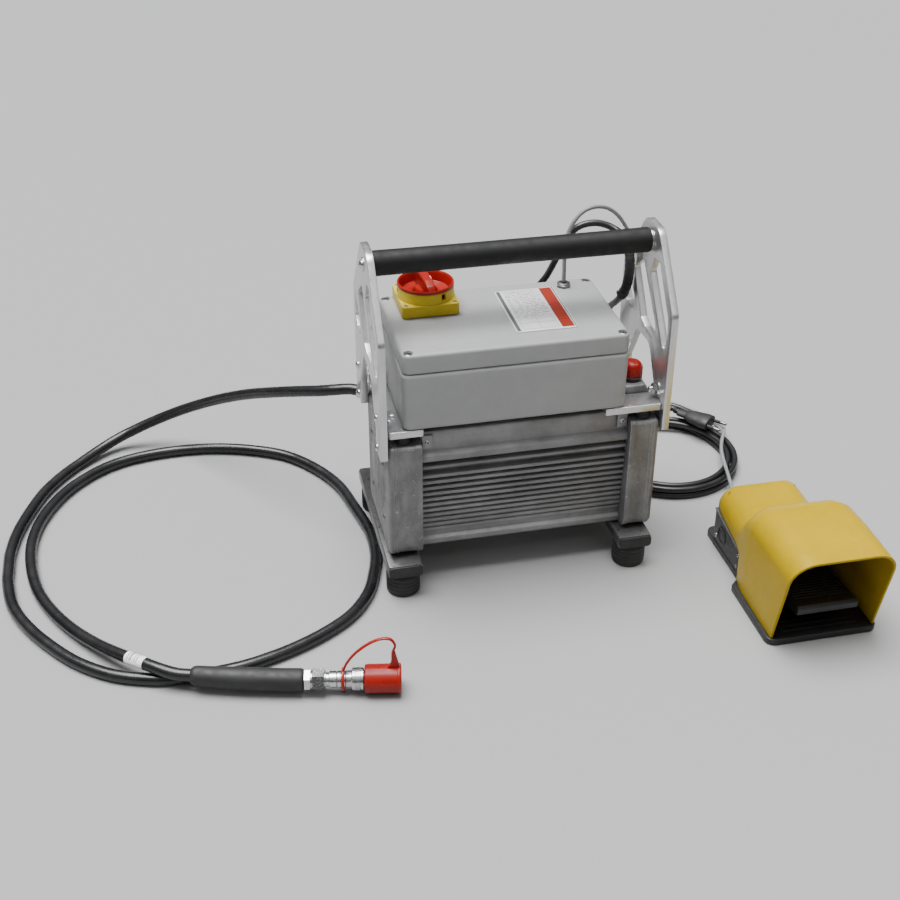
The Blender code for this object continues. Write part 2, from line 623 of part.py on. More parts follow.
def make_coupler():
    line = empty("coupler_line", COUPLER_START, UNIT, COUPLER_DIRECTION)
    nut = [(0, NIPPLE_END), (8.8, NIPPLE_END), (8.8, NUT_END), (12.2, NUT_END - 0.6), (12.2, 0.6), (11, 0), (0, 0)]
    turned("hose_nut", STEEL, nut, sides=24, parent=line)
    start = NIPPLE_END + GAP
    body = [
        (0, COLLAR_END + 14), (6.5, COLLAR_END + 14), (6.5, COLLAR_END + 0.6), (9, COLLAR_END),
        (9, start + 0.5), (8.5, start), (0, start),
    ]
    turned("coupler_body", STEEL, body, sides=24, parent=line)
    collar = [
        (11.4, COLLAR_END - 0.5), (12, COLLAR_END - 1.5), (12, COLLAR_START + 1), (11.4, COLLAR_START),
        (9.2, COLLAR_START), (9.2, COLLAR_END - 0.5),
    ]
    turned("coupler_collar", STEEL, collar, sides=32, ring=True, parent=line)
    near = COLLAR_END + GAP
    cap = [
        (0, CAP_END), (15, CAP_END), (16, CAP_END - 1.5), (16, near + 16), (13.5, near + 15), (13.5, near),
        (9.3, near), (9.3, CAP_END - 5), (0, CAP_END - 5),
    ]
    cap_object = turned("dust_cap", RED_PLASTIC, cap, sides=32, parent=line)
    ear = box("cap_ear", RED_PLASTIC, (-1.6, 13, CAP_END - 12), (1.6, EAR_TOP, CAP_END - 4), parent=line)
    join(cap_object, ear)
    tether = [
        (0, EAR_TOP + CORD_GAP, CAP_END - 8), (0, 44, CAP_END - 6), (0, 52, CAP_END - 11),
        (0, 52, CAP_END - 22), (0, 45, CAP_END - 35), (0, 33, CAP_END - 48), (0, 21, CAP_END - 56),
        (0, 10.8, COLLAR_START - 8.9),
    ]
    strap = tube("dust_cap_tether", RED_PLASTIC, smooth_route(tether, 7, -50), 1.6, 1, parent=line)
    strap = as_mesh(strap)
    ring = [(12.2, 41.6), (12.2, 39.4), (9.3, 39.4), (9.3, 41.6)]
    join(strap, turned("tether_ring", RED_PLASTIC, ring, sides=24, ring=True, parent=line))


# --------------------------------------------------------------- mains lead
def make_mains_lead():
    x, z = MAINS_GLAND
    start = (x, MAINS_GLAND_END + CORD_GAP, z)
    turn = math.radians(34)
    reach = COIL_OUTER + MAINS_RADIUS + 0.6
    end = (COIL_CENTRE[0] + reach * math.cos(turn), COIL_CENTRE[1] + reach * math.sin(turn), 4.3)
    tube("mains_cable", HOSE_RUBBER, smooth_route([start, *MAINS_ROUTE, end], 24, MAINS_RADIUS + 0.05),
         MAINS_RADIUS)
    top = COIL_HEIGHT
    coil = [
        (COIL_OUTER - 2.5, top), (COIL_OUTER, top - 2.5), (COIL_OUTER, 2.5), (COIL_OUTER - 2.5, 0),
        (COIL_INNER + 2.5, 0), (COIL_INNER, 2.5), (COIL_INNER, top - 2.5), (COIL_INNER + 2.5, top),
    ]
    turned("mains_coil", HOSE_RUBBER, coil, (*COIL_CENTRE, 0), sides=48, ring=True)
    turn = math.radians(40)
    middle = (COIL_INNER + COIL_OUTER) / 2
    at = (COIL_CENTRE[0] + middle * math.cos(turn), COIL_CENTRE[1] + middle * math.sin(turn),
          COIL_HEIGHT + GAP + PLUG_RADIUS * PLUG_FLATTENING)
    forward = Vector((math.sin(turn), -math.cos(turn), 0))
    line = empty("plug_line", at, UNIT, forward)
    half = PLUG_LENGTH / 2
    plug = [
        (0, half), (PLUG_RADIUS - 1, half), (PLUG_RADIUS, half - 1), (PLUG_RADIUS, 0), (11, -half + 4),
        (8.5, -half), (7.6, -half - 12), (0, -half - 12),
    ]
    body = turned("mains_plug", BLACK_RUBBER, plug, sides=28, parent=line)
    body.scale.y = PLUG_FLATTENING
    for side in (-1, 1):
        pin = rod("plug_pin", STEEL, 2.4, 21, (9.5 * side, 0, half + 9), sides=12, parent=line)
        join(body, pin)


# -------------------------------------------------------------- foot switch
def hood_section(y, half, top, bottom, corner, lean):
    """One arch across the hood, from its left foot over the top to its right foot."""
    left = [(-half, bottom)] + arc((corner - half, top - corner), corner, 180, 90, 5)
    arch = left + [(-px, pz) for px, pz in reversed(left)]
    return [mm(PEDAL_X + px, y - lean * (pz - bottom) / (top - bottom), pz) for px, pz in arch]


def make_hood():
    sections = [
        (-61.5, 35, 75.5, 52.9, 20, 0), (-65, 41, 78.5, 52.4, 23, 0), (-75, 46.5, 80, 50.8, 26, 0),
        (-100, 49.5, 80.5, 46.6, 29, 0), (-125, 51, 81.5, 42.4, 28, 0), (-137, 53, 89, 40.4, 26, 0),
        (-146, 55.5, 99, 38.6, 26, 0), (-160, 59, 114, 8.6, 27, 1), (-174, 60.5, 122, 8.3, 28, 5),
        (-205, 61, 123.5, 8.3, 28, 10), (-230, 61, 123, 8.3, 28, 17), (-254.5, 61, 122, 8.3, 28, 25.5),
    ]
    bm = bmesh.new()
    rows = [[bm.verts.new(point) for point in hood_section(*section)] for section in sections]
    for near, far in zip(rows, rows[1:]):
        for i in range(len(near) - 1):
            bm.faces.new((near[i], near[i + 1], far[i + 1], far[i]))
    bm.faces.new(reversed(rows[0]))
    bmesh.ops.recalc_face_normals(bm, faces=bm.faces)
    hood = place(mesh_object("pedal_hood", bm), YELLOW_PLASTIC, (0, 0, 0))
    shell = hood.modifiers.new("wall", "SOLIDIFY")
    shell.thickness = 3 * MM
    shell.offset = -1
    shell.use_even_offset = True
    return smooth(hood)


def make_pedal():
    x, rear, front = PEDAL_X, PEDAL_REAR, PEDAL_FRONT
    half, wide = PEDAL_BASE_HALF, PEDAL_FRONT_HALF
    side = [(half, rear, 8), (half, -143, 4), (wide, -156, 4), (wide, front, 10)]
    outline = side + [(-px, py, r) for px, py, r in reversed(side)]
    base = as_mesh(plate("pedal_base", BLACK_PLASTIC, rounded(outline), PEDAL_BASE_THICK,
                         (x, 0, PEDAL_BASE_THICK / 2)))
    for sign in (-1, 1):
        ear_x = x + sign * 43
        ear = box("pedal_ear", BLACK_PLASTIC, (ear_x - 3, TREAD_PIN_Y - 7, 4), (ear_x + 3, TREAD_PIN_Y + 7, 35))
        join(base, ear)
    cut(base, rod("pin_hole", BLACK_PLASTIC, 2.8, 120, (x, TREAD_PIN_Y, TREAD_PIN_Z), "X", 16))
    rod("pedal_pin", STEEL, 2.5, 94, (x, TREAD_PIN_Y, TREAD_PIN_Z), "X", 16)

    low = PEDAL_BASE_THICK + GAP
    front_y, rear_y = PEDAL_BODY_Y
    outline = rounded([(front_y, low), (rear_y, low), (rear_y, 52), (front_y, 38)], 2, 2)
    plate("pedal_switch_body", BLACK_PLASTIC, outline, 101, (x, 0, 0), "YZ")
    gland = [(0, 20.5), (3.4, 20.5), (6, 17), (6.6, 8), (7.5, 7.5), (7.5, 0), (0, 0)]
    turned("pedal_gland", BLACK_PLASTIC, gland, (PEDAL_GLAND_X, rear_y + GAP, PEDAL_GLAND_Z), "Y", 20)

    hinge = TREAD_PIN_Y
    boss = [(y - hinge, z - TREAD_PIN_Z) for y, z in arc((hinge, TREAD_PIN_Z), 6.5, 60, -120, 8)]
    tip = [(-101, 8.5), (-104, 11), (-104, 18), (-100, 20.5)]
    plate("pedal_tread", BLACK_PLASTIC, boss + tip, 2 * TREAD_HALF, (x, hinge, TREAD_PIN_Z), "YZ",
          [arc((0, 0), 2.8, 0, 337.5, 15)])


def make_foot_lead():
    x, y = LID_GLAND
    start = (x, y, LID_GLAND_TOP + CORD_GAP)
    end = (PEDAL_GLAND_X, PEDAL_BODY_Y[1] + GAP + 20.5 + CORD_GAP, PEDAL_GLAND_Z)
    before = (PEDAL_GLAND_X, end[1] + 14, PEDAL_GLAND_Z)
    route = smooth_route([start, *LEAD_ROUTE, before, end], 25, LEAD_RADIUS + 0.05)
    tube("foot_switch_lead", GREY_CABLE, route, LEAD_RADIUS)


def main():
    make_motor_body()
    make_casting("end_casting_left", CAST_LEFT_X)
    make_casting("end_casting_right", CAST_RIGHT_X)
    make_motor_inside()
    make_rail("base_rail_left", RAIL_LEFT_X)
    make_rail("base_rail_right", RAIL_RIGHT_X)
    make_feet()
    make_brackets()
    make_handle()
    make_supports()
    make_enclosure()
    make_glands()
    make_switch()
    make_filler()
    make_outlet()
    make_hose()
    make_coupler()
    make_mains_lead()
    make_hood()
    make_pedal()
    make_foot_lead()


main()
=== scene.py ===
"""Looks of a portable hydraulic power unit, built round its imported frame.

Lengths are millimetres in the unit's own axes, as in its design: X runs along the finned motor body, Y from
the front to the rear and Z up. X is 0 midway between the handle brackets, Y is 0 at the middle of the switch
enclosure and Z is 0 on the floor. at() turns a point into the frame's metres.
"""

import math
import random

import bmesh
import bpy
from mathutils import Matrix, Vector


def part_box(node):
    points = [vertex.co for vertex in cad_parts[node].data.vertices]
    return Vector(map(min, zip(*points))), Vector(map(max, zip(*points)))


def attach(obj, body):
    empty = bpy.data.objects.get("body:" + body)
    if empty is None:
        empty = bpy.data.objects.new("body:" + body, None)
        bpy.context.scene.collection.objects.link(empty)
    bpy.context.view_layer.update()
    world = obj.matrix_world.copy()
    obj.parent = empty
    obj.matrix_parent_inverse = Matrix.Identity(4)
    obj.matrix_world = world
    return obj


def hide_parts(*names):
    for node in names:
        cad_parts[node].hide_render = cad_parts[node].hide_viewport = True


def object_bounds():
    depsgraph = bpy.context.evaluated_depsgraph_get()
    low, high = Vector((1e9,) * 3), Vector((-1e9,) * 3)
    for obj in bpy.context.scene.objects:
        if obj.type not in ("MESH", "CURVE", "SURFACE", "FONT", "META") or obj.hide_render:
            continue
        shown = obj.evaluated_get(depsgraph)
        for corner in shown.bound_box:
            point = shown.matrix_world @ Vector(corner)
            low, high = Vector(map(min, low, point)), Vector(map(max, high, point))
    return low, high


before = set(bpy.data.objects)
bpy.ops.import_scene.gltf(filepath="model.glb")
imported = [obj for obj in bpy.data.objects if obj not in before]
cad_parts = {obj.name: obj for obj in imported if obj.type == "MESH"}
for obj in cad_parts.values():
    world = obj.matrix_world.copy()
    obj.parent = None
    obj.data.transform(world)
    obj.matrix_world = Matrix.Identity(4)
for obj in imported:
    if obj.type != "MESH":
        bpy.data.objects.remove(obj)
CAD_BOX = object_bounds()

MM = 0.001
LEFT_BRACKET, RIGHT_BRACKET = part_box("bracket_left"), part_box("bracket_right")
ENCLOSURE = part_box("enclosure_base")
ORIGIN = Vector((
    (LEFT_BRACKET[0].x + RIGHT_BRACKET[1].x) / 2,
    (ENCLOSURE[0].y + ENCLOSURE[1].y) / 2,
    0,
))
TO_FRAME = Matrix.Translation(ORIGIN) @ Matrix.Scale(MM, 4)

# Motor body, castings and base
BODY_X = (-115.7, 119.7)
FIN_COUNT, FIN_ROOT = 12, 56.0
CAST_Y, CAST_Z = (-76.0, 62.0), (45.3, 190.0)
RAILS = {"left": (-159.0, -120.0), "right": (111.0, 150.0)}
RAIL_Y, RAIL_Z = (-94.0, 121.0), (30.3, 45.0)
FOOT_Y = {"front": -72.0, "rear": 100.0}

# Handle frame
SIDES = {"left": -1, "right": 1}
BRACKET_INNER, BRACKET_THICK = 154.5, 8.0
HANDLE_Y, HANDLE_Z, HANDLE_HALF = 2.0, 373.0, 154.2

# Enclosure and what stands on it
BOX_X, BOX_HALF_Y, BOX_CORNER = (-136.7, 113.3), 75.0, 9.0
BOX_BOTTOM, BOX_JOIN, BOX_TOP = 209.5, 277.3, 300.0
LID_SCREW_X = {"left": -128.7, "right": 105.3}
LID_SCREW_Y = {"front": -67.0, "rear": 67.0}
SWITCH = (-88.0, 42.0)
PLATE_TOP, KNOB_BASE, KNOB_RIM, KNOB_TOP, KNOB_RADIUS = 314.0, 325.8, 329.4, 336.0, 31.5
LID_GLAND, LID_GLAND_TOP = (75.4, 56.4), 305.2
MAINS_GLAND, MAINS_GLAND_END = (60.0, 245.0), 99.0
FILLER = (135.0, -25.0)
NECK_TOP, CAP_TOP = 217.5, 240.5

# Outlet, hose and coupler
OUTLET_START = Vector((-141.0, 90.5, 168.0))
OUTLET_DIRECTION = Vector((-35.0, 18.0, 0.0)).normalized()
OUTLET_LENGTH, CORD_GAP, GAP = 20.0, 0.6, 0.3
HOSE_RADIUS = 6.75
COUPLER_START = Vector((-272.3, -223.8, 16.6))
COUPLER_DIRECTION = Vector((98.4, -18.4, 0.0)).normalized()
NUT_END, NIPPLE_END, COLLAR_START, COLLAR_END, CAP_END, EAR_TOP = 21.6, 34.0, 49.4, 62.4, 100.6, 36.0

# Mains lead and foot-switch lead
MAINS_RADIUS, LEAD_RADIUS = 4.0, 2.3
COIL_CENTRE, COIL_INNER, COIL_OUTER, COIL_HEIGHT = Vector((250.0, 122.0, 0.0)), 74.0, 92.0, 16.8
PLUG_TURN, PLUG_RADIUS, PLUG_LENGTH, PLUG_TAIL, PLUG_FLATTENING = 40, 15.0, 36.0, 12.0, 0.58

# Foot switch
PEDAL_X, PEDAL_REAR, PEDAL_FRONT = 291.5, -41.0, -259.0
PEDAL_HALF, PEDAL_FRONT_HALF, PEDAL_BASE_TOP = 51.0, 65.0, 8.0
PEDAL_BODY_Y = (-145.0, -62.0)
HOOD_WALL, HOOD_BEAD = 3.0, 0.9
PIN_Y, PIN_Z = -154.0, 27.0
PEDAL_GLAND_X, PEDAL_GLAND_Z = 280.0, 30.0

# Free cords: the points of their routes, as in the design
HOSE_ROUTE = [
    (-170, 105.4, 167.8), (-202, 121, 160.5), (-245, 161, 142), (-291, 217, 112), (-341, 269, 76),
    (-394, 303, 42), (-451, 306, 17), (-503, 268, 7.2), (-540, 219, 6.9), (-562, 168, 6.9),
    (-577, 115, 6.9), (-583, 61, 6.9), (-581, 20, 6.9), (-573, -24, 6.9), (-554, -66, 6.9),
    (-527, -106, 6.9), (-500, -137, 6.9), (-467, -162, 6.9), (-433, -176, 6.9), (-405, -182, 6.9),
    (-375, -182, 6.9), (-346, -180, 6.9), (-315, -174, 6.9), (-275, -160, 6.9), (-237, -140, 6.9),
    (-206, -116, 6.9), (-183, -84, 6.9), (-170, -49, 6.9), (-161, -9, 6.9), (-160, 38, 6.9),
    (-170, 95, 6.9), (-181, 144, 6.9), (-204, 190, 6.9), (-238, 230, 6.9), (-281, 254, 6.9),
    (-330, 269, 6.9), (-382, 273, 6.9), (-434, 266, 6.9), (-473, 249, 6.9), (-506, 220, 6.9),
    (-530, 186, 6.9), (-548, 145, 6.9), (-557, 102, 6.9), (-557, 57, 6.9), (-549, 8, 6.9),
    (-534, -33, 7.2), (-511, -75, 9), (-485, -112, 13), (-461, -141, 18), (-434, -167, 21.4),
    (-413, -183.5, 21.0), (-399, -190.4, 19.2),
]
SLEEVE_ROUTE = [(-385.5, -194.2, 18.6), (-357, -202.8, 17.8), (-328.8, -210.2, 17.2), (-300, -217.5, 16.8)]
MAINS_ROUTE = [
    (60, 112, 246), (60.5, 121, 256), (65, 122, 270), (74, 117, 287), (81, 106, 313), (86, 99, 331),
    (92, 95, 346), (99, 93.5, 353.5), (109, 93, 357.5), (122, 92, 358.5), (134, 88.5, 356),
    (142.5, 82, 352.5), (146.5, 73, 350.5), (147.5, 62, 348.5), (147.5, 51, 344), (147.5, 43.5, 335.5),
    (147.5, 41, 324), (147.5, 42, 311), (147, 46, 297), (145.5, 54, 283), (143, 65, 270), (141.5, 77, 259.5),
    (141, 88, 245), (143, 98, 225), (146.5, 108, 190), (149, 120, 140), (152, 135, 85), (157, 156, 38),
    (165.5, 184, 12), (181, 208.5, 4.3), (207, 236, 4.3), (240, 256, 4.3), (275, 263, 4.3), (303, 254, 4.3),
    (319, 236, 4.3), (328, 212, 4.3),
]
LEAD_ROUTE = [
    (75.3, 56.4, 316), (75, 56.8, 330), (75.5, 57.5, 347), (78, 59, 361), (82.5, 60, 371.5),
    (89.5, 60.5, 381.5), (98.5, 61.5, 388.2), (110, 63.5, 390), (122, 67, 387.3), (133, 72.5, 380.5),
    (143, 79, 371), (152, 84.5, 359.5), (160, 87, 346), (165, 87.5, 331), (167, 87.5, 312), (166, 88, 290),
    (162, 91, 272), (155, 98, 255), (146.5, 105.5, 238), (139.5, 110.5, 215), (135.5, 113.5, 185),
    (135, 121, 135), (139, 133, 82), (144, 153, 36), (153.5, 185, 10), (174, 215, 2.6), (203, 243, 2.6),
    (238, 263.5, 2.6), (276, 270, 2.6), (308, 260, 2.6), (328, 240, 2.6), (340, 217, 3), (347, 196, 5),
    (348, 178, 10), (345, 162, 15.5), (339, 146, 19.6), (328, 127, 20.4), (319, 107, 20.4), (313, 89, 20.4),
    (309, 72, 20.4), (305, 54, 20.4), (299, 29, 21), (292, 7, 24), (284, -10, 28),
]


def at(point):
    return TO_FRAME @ Vector(point)


def linked(name, data):
    """A new object that shows this data in the scene."""
    made = bpy.data.objects.new(name, data)
    bpy.context.scene.collection.objects.link(made)
    return made


# ------------------------------------------------------------ camera, lights
def make_camera():
    heading, down, roll = math.radians(-12.522), math.radians(31.873), math.radians(0.171)
    data = bpy.data.cameras.new("camera")
    data.lens, data.sensor_width = 54.7, 36.0
    camera = linked("camera", data)
    turn = Matrix.Rotation(heading, 4, "Z") @ Matrix.Rotation(math.pi / 2 - down, 4, "X")
    turn = turn @ Matrix.Rotation(roll, 4, "Z")
    camera.matrix_world = Matrix.Translation(at((-358.6, -1303.8, 963.7))) @ turn
    bpy.context.scene.camera = camera


def area_light(name, place, target, size, power):
    data = bpy.data.lights.new(name, "AREA")
    data.shape, data.size, data.size_y = "RECTANGLE", *size
    data.energy = power
    light = linked(name, data)
    light.location = place
    light.rotation_euler = (Vector(place) - Vector(target)).to_track_quat("Z", "Y").to_euler()


def make_light():
    """One wide sun almost overhead, a strip above the camera, and a pale sky that is dim at the horizon."""
    world = bpy.data.worlds.new("studio")
    bpy.context.scene.world = world
    world.use_nodes = True
    nodes, links = world.node_tree.nodes, world.node_tree.links
    coordinates = nodes.new("ShaderNodeTexCoord")
    split = nodes.new("ShaderNodeSeparateXYZ")
    ramp = nodes.new("ShaderNodeMapRange")
    for key, value in {"From Min": 0.25, "From Max": 0.95, "To Min": 0.06, "To Max": 0.80}.items():
        ramp.inputs[key].default_value = value
    links.new(coordinates.outputs["Generated"], split.inputs[0])
    links.new(split.outputs["Z"], ramp.inputs["Value"])
    links.new(ramp.outputs["Result"], nodes["Background"].inputs["Strength"])
    nodes["Background"].inputs["Color"].default_value = (0.97, 0.985, 1.0, 1)
    sun = bpy.data.lights.new("overhead", "SUN")
    sun.energy, sun.angle = 7.6, math.radians(44)
    lamp = linked("overhead", sun)
    lamp.rotation_euler = Vector((-0.16, 0.10, 1.0)).to_track_quat("Z", "Y").to_euler()
    area_light("strip", (0.35, -1.75, 2.15), (0, 0, 0.2), (1.8, 0.22), 4)


def make_floor():
    bm = bmesh.new()
    bmesh.ops.create_grid(bm, x_segments=8, y_segments=8, size=9)
    mesh = bpy.data.meshes.new("floor")
    bm.to_mesh(mesh)
    bm.free()
    floor = linked("floor", mesh)
    floor.location.z = -0.0002
    paint = bpy.data.materials.new("floor_paint")
    paint.use_nodes = True
    shader = paint.node_tree.nodes["Principled BSDF"]
    shader.inputs["Base Color"].default_value = (0.30, 0.30, 0.30, 1)
    shader.inputs["Roughness"].default_value = 0.8
    mesh.materials.append(paint)


# ------------------------------------------------------------------ finishes
class Finish:
    """A procedural material whose colour, roughness and relief all vary over the surface."""

    def __init__(self, slot, colour, roughness, metallic=0.0, name=None):
        self.material = bpy.data.materials.new(name or f"{slot}_finish")
        self.material.use_nodes = True
        self.material["slot"] = slot
        tree = self.material.node_tree
        self.nodes, self.links = tree.nodes, tree.links
        self.shader = self.nodes["Principled BSDF"]
        self.coordinates = self.add("ShaderNodeTexCoord").outputs["Object"]
        self.shader.inputs["Metallic"].default_value = metallic
        self.colour = self.add("ShaderNodeRGB").outputs[0]
        self.colour.default_value = (*colour, 1)
        self.roughness = self.add("ShaderNodeValue").outputs[0]
        self.roughness.default_value = roughness
        self.relief = None

    def add(self, kind, **settings):
        node = self.nodes.new(kind)
        for key, value in settings.items():
            setattr(node, key, value)
        return node

    def set(self, node, **values):
        for key, value in values.items():
            socket = node.inputs[key.replace("_", " ").title()]
            if hasattr(value, "links"):
                self.links.new(value, socket)
            else:
                socket.default_value = value
        return node

    def noise(self, scale, detail=3.0, roughness=0.55, stretch=(1, 1, 1)):
        """Noise with scale features to the metre, drawn out along an axis where stretch is under 1."""
        mapping = self.add("ShaderNodeMapping")
        mapping.inputs["Scale"].default_value = stretch
        self.links.new(self.coordinates, mapping.inputs["Vector"])
        node = self.add("ShaderNodeTexNoise")
        self.set(node, vector=mapping.outputs[0], scale=scale, detail=detail, roughness=roughness)
        return node.outputs["Fac"]

    def spread(self, value, low, high, start=0.3, end=0.7):
        node = self.add("ShaderNodeMapRange")
        self.set(node, value=value, from_min=start, from_max=end, to_min=low, to_max=high)
        return node.outputs["Result"]

    def vary(self, scale, amount, stretch=(1, 1, 1)):
        """Lightens and darkens the colour in patches by up to amount."""
        node = self.add("ShaderNodeHueSaturation")
        value = self.spread(self.noise(scale, stretch=stretch), 1 - amount, 1 + amount)
        self.set(node, color=self.colour, value=value)
        self.colour = node.outputs["Color"]
        return self

    def tint(self, colour, mask):
        node = self.add("ShaderNodeMix", data_type="RGBA")
        self.links.new(mask, node.inputs["Factor"])
        self.links.new(self.colour, node.inputs[6])
        node.inputs[7].default_value = (*colour, 1)
        self.colour = node.outputs[2]
        return self

    def specks(self, colour, scale, share, strength=1.0):
        """Spots of another colour where fine noise is highest."""
        return self.tint(colour, self.spread(self.noise(scale, 4.0, 0.7), 0, strength, 1 - share,
                                             1.02 - share))

    def rough(self, scale, amount, stretch=(1, 1, 1)):
        node = self.add("ShaderNodeMath", operation="ADD")
        self.links.new(self.roughness, node.inputs[0])
        self.links.new(self.spread(self.noise(scale, 4.0, stretch=stretch), -amount, amount), node.inputs[1])
        self.roughness = node.outputs[0]
        return self

    def grain(self, scale, depth, stretch=(1, 1, 1), strength=1.0):
        """Relief of depth metres between the noise's lowest and highest places."""
        height = self.noise(scale, 5.0, 0.6, stretch)
        node = self.add("ShaderNodeBump")
        self.set(node, strength=strength, distance=depth, height=height)
        if self.relief is not None:
            self.links.new(self.relief, node.inputs["Normal"])
        self.relief = node.outputs["Normal"]
        return self

    def worn_edges(self, colour, radius=0.0007, strength=0.7):
        """Mixes in a colour along outer edges, unevenly."""
        bevel = self.add("ShaderNodeBevel", samples=4)
        bevel.inputs["Radius"].default_value = radius
        plain = self.add("ShaderNodeNewGeometry").outputs["Normal"]
        dot = self.add("ShaderNodeVectorMath", operation="DOT_PRODUCT")
        self.links.new(bevel.outputs[0], dot.inputs[0])
        self.links.new(plain, dot.inputs[1])
        edge = self.spread(dot.outputs["Value"], strength, 0, 0.80, 0.985)
        uneven = self.add("ShaderNodeMath", operation="MULTIPLY")
        self.links.new(edge, uneven.inputs[0])
        self.links.new(self.spread(self.noise(220), 0.35, 1), uneven.inputs[1])
        return self.tint(colour, uneven.outputs[0])

    def gloss(self, level):
        self.shader.inputs["Specular IOR Level"].default_value = level
        return self

    def done(self):
        self.links.new(self.colour, self.shader.inputs["Base Color"])
        self.links.new(self.roughness, self.shader.inputs["Roughness"])
        if self.relief is not None:
            self.links.new(self.relief, self.shader.inputs["Normal"])
        return self.material


def plate_aluminium(name="plate_aluminium_finish", colour=(0.60, 0.60, 0.605)):
    made = Finish("plate_aluminium", colour, 0.34, 0.92, name)
    made.vary(18, 0.07).vary(160, 0.06, (1, 1, 0.05)).rough(240, 0.08, (1, 1, 0.06))
    made.specks((0.32, 0.32, 0.31), 260, 0.30, 0.4).grain(2400, 0.00003, (1, 1, 0.03))
    return made.worn_edges((0.86, 0.86, 0.86), 0.0006, 0.6).done()


def steel(name="steel_finish", colour=(0.60, 0.60, 0.61), roughness=0.24):
    made = Finish("plated_steel", colour, roughness, 1.0, name)
    made.vary(90, 0.10).specks((0.30, 0.28, 0.26), 700, 0.31, 0.5).rough(500, 0.08)
    return made.grain(1500, 0.00003).done()


def yellow_plastic(name="yellow_plastic_finish", colour=(0.40, 0.265, 0.0)):
    made = Finish("yellow_plastic", colour, 0.36, 0.0, name)
    made.vary(16, 0.05).vary(120, 0.03).specks((0.30, 0.16, 0.0), 520, 0.27, 0.4)
    made.rough(140, 0.08).grain(1900, 0.00005).grain(300, 0.00006, strength=0.5)
    made.gloss(0.15)
    return made.worn_edges((0.52, 0.37, 0.01), 0.0008, 0.4).done()


def hose_rubber(name="hose_rubber_finish", roughness=0.27, wrap=0.00005):
    made = Finish("hose_rubber", (0.010, 0.010, 0.011), roughness, 0.0, name)
    made.vary(20, 0.35).specks((0.05, 0.05, 0.048), 500, 0.30, 0.3).rough(60, 0.09)
    return made.grain(700, wrap).grain(60, 0.0003, strength=0.3).done()


def label_foil(name="label_foil_finish", colour=(0.72, 0.72, 0.73), metallic=0.25):
    made = Finish("label_foil", colour, 0.32, metallic, name)
    made.vary(120, 0.06).rough(200, 0.06, (0.1, 1, 1)).specks((0.4, 0.4, 0.4), 900, 0.28, 0.4)
    return made.grain(1400, 0.00002).done()


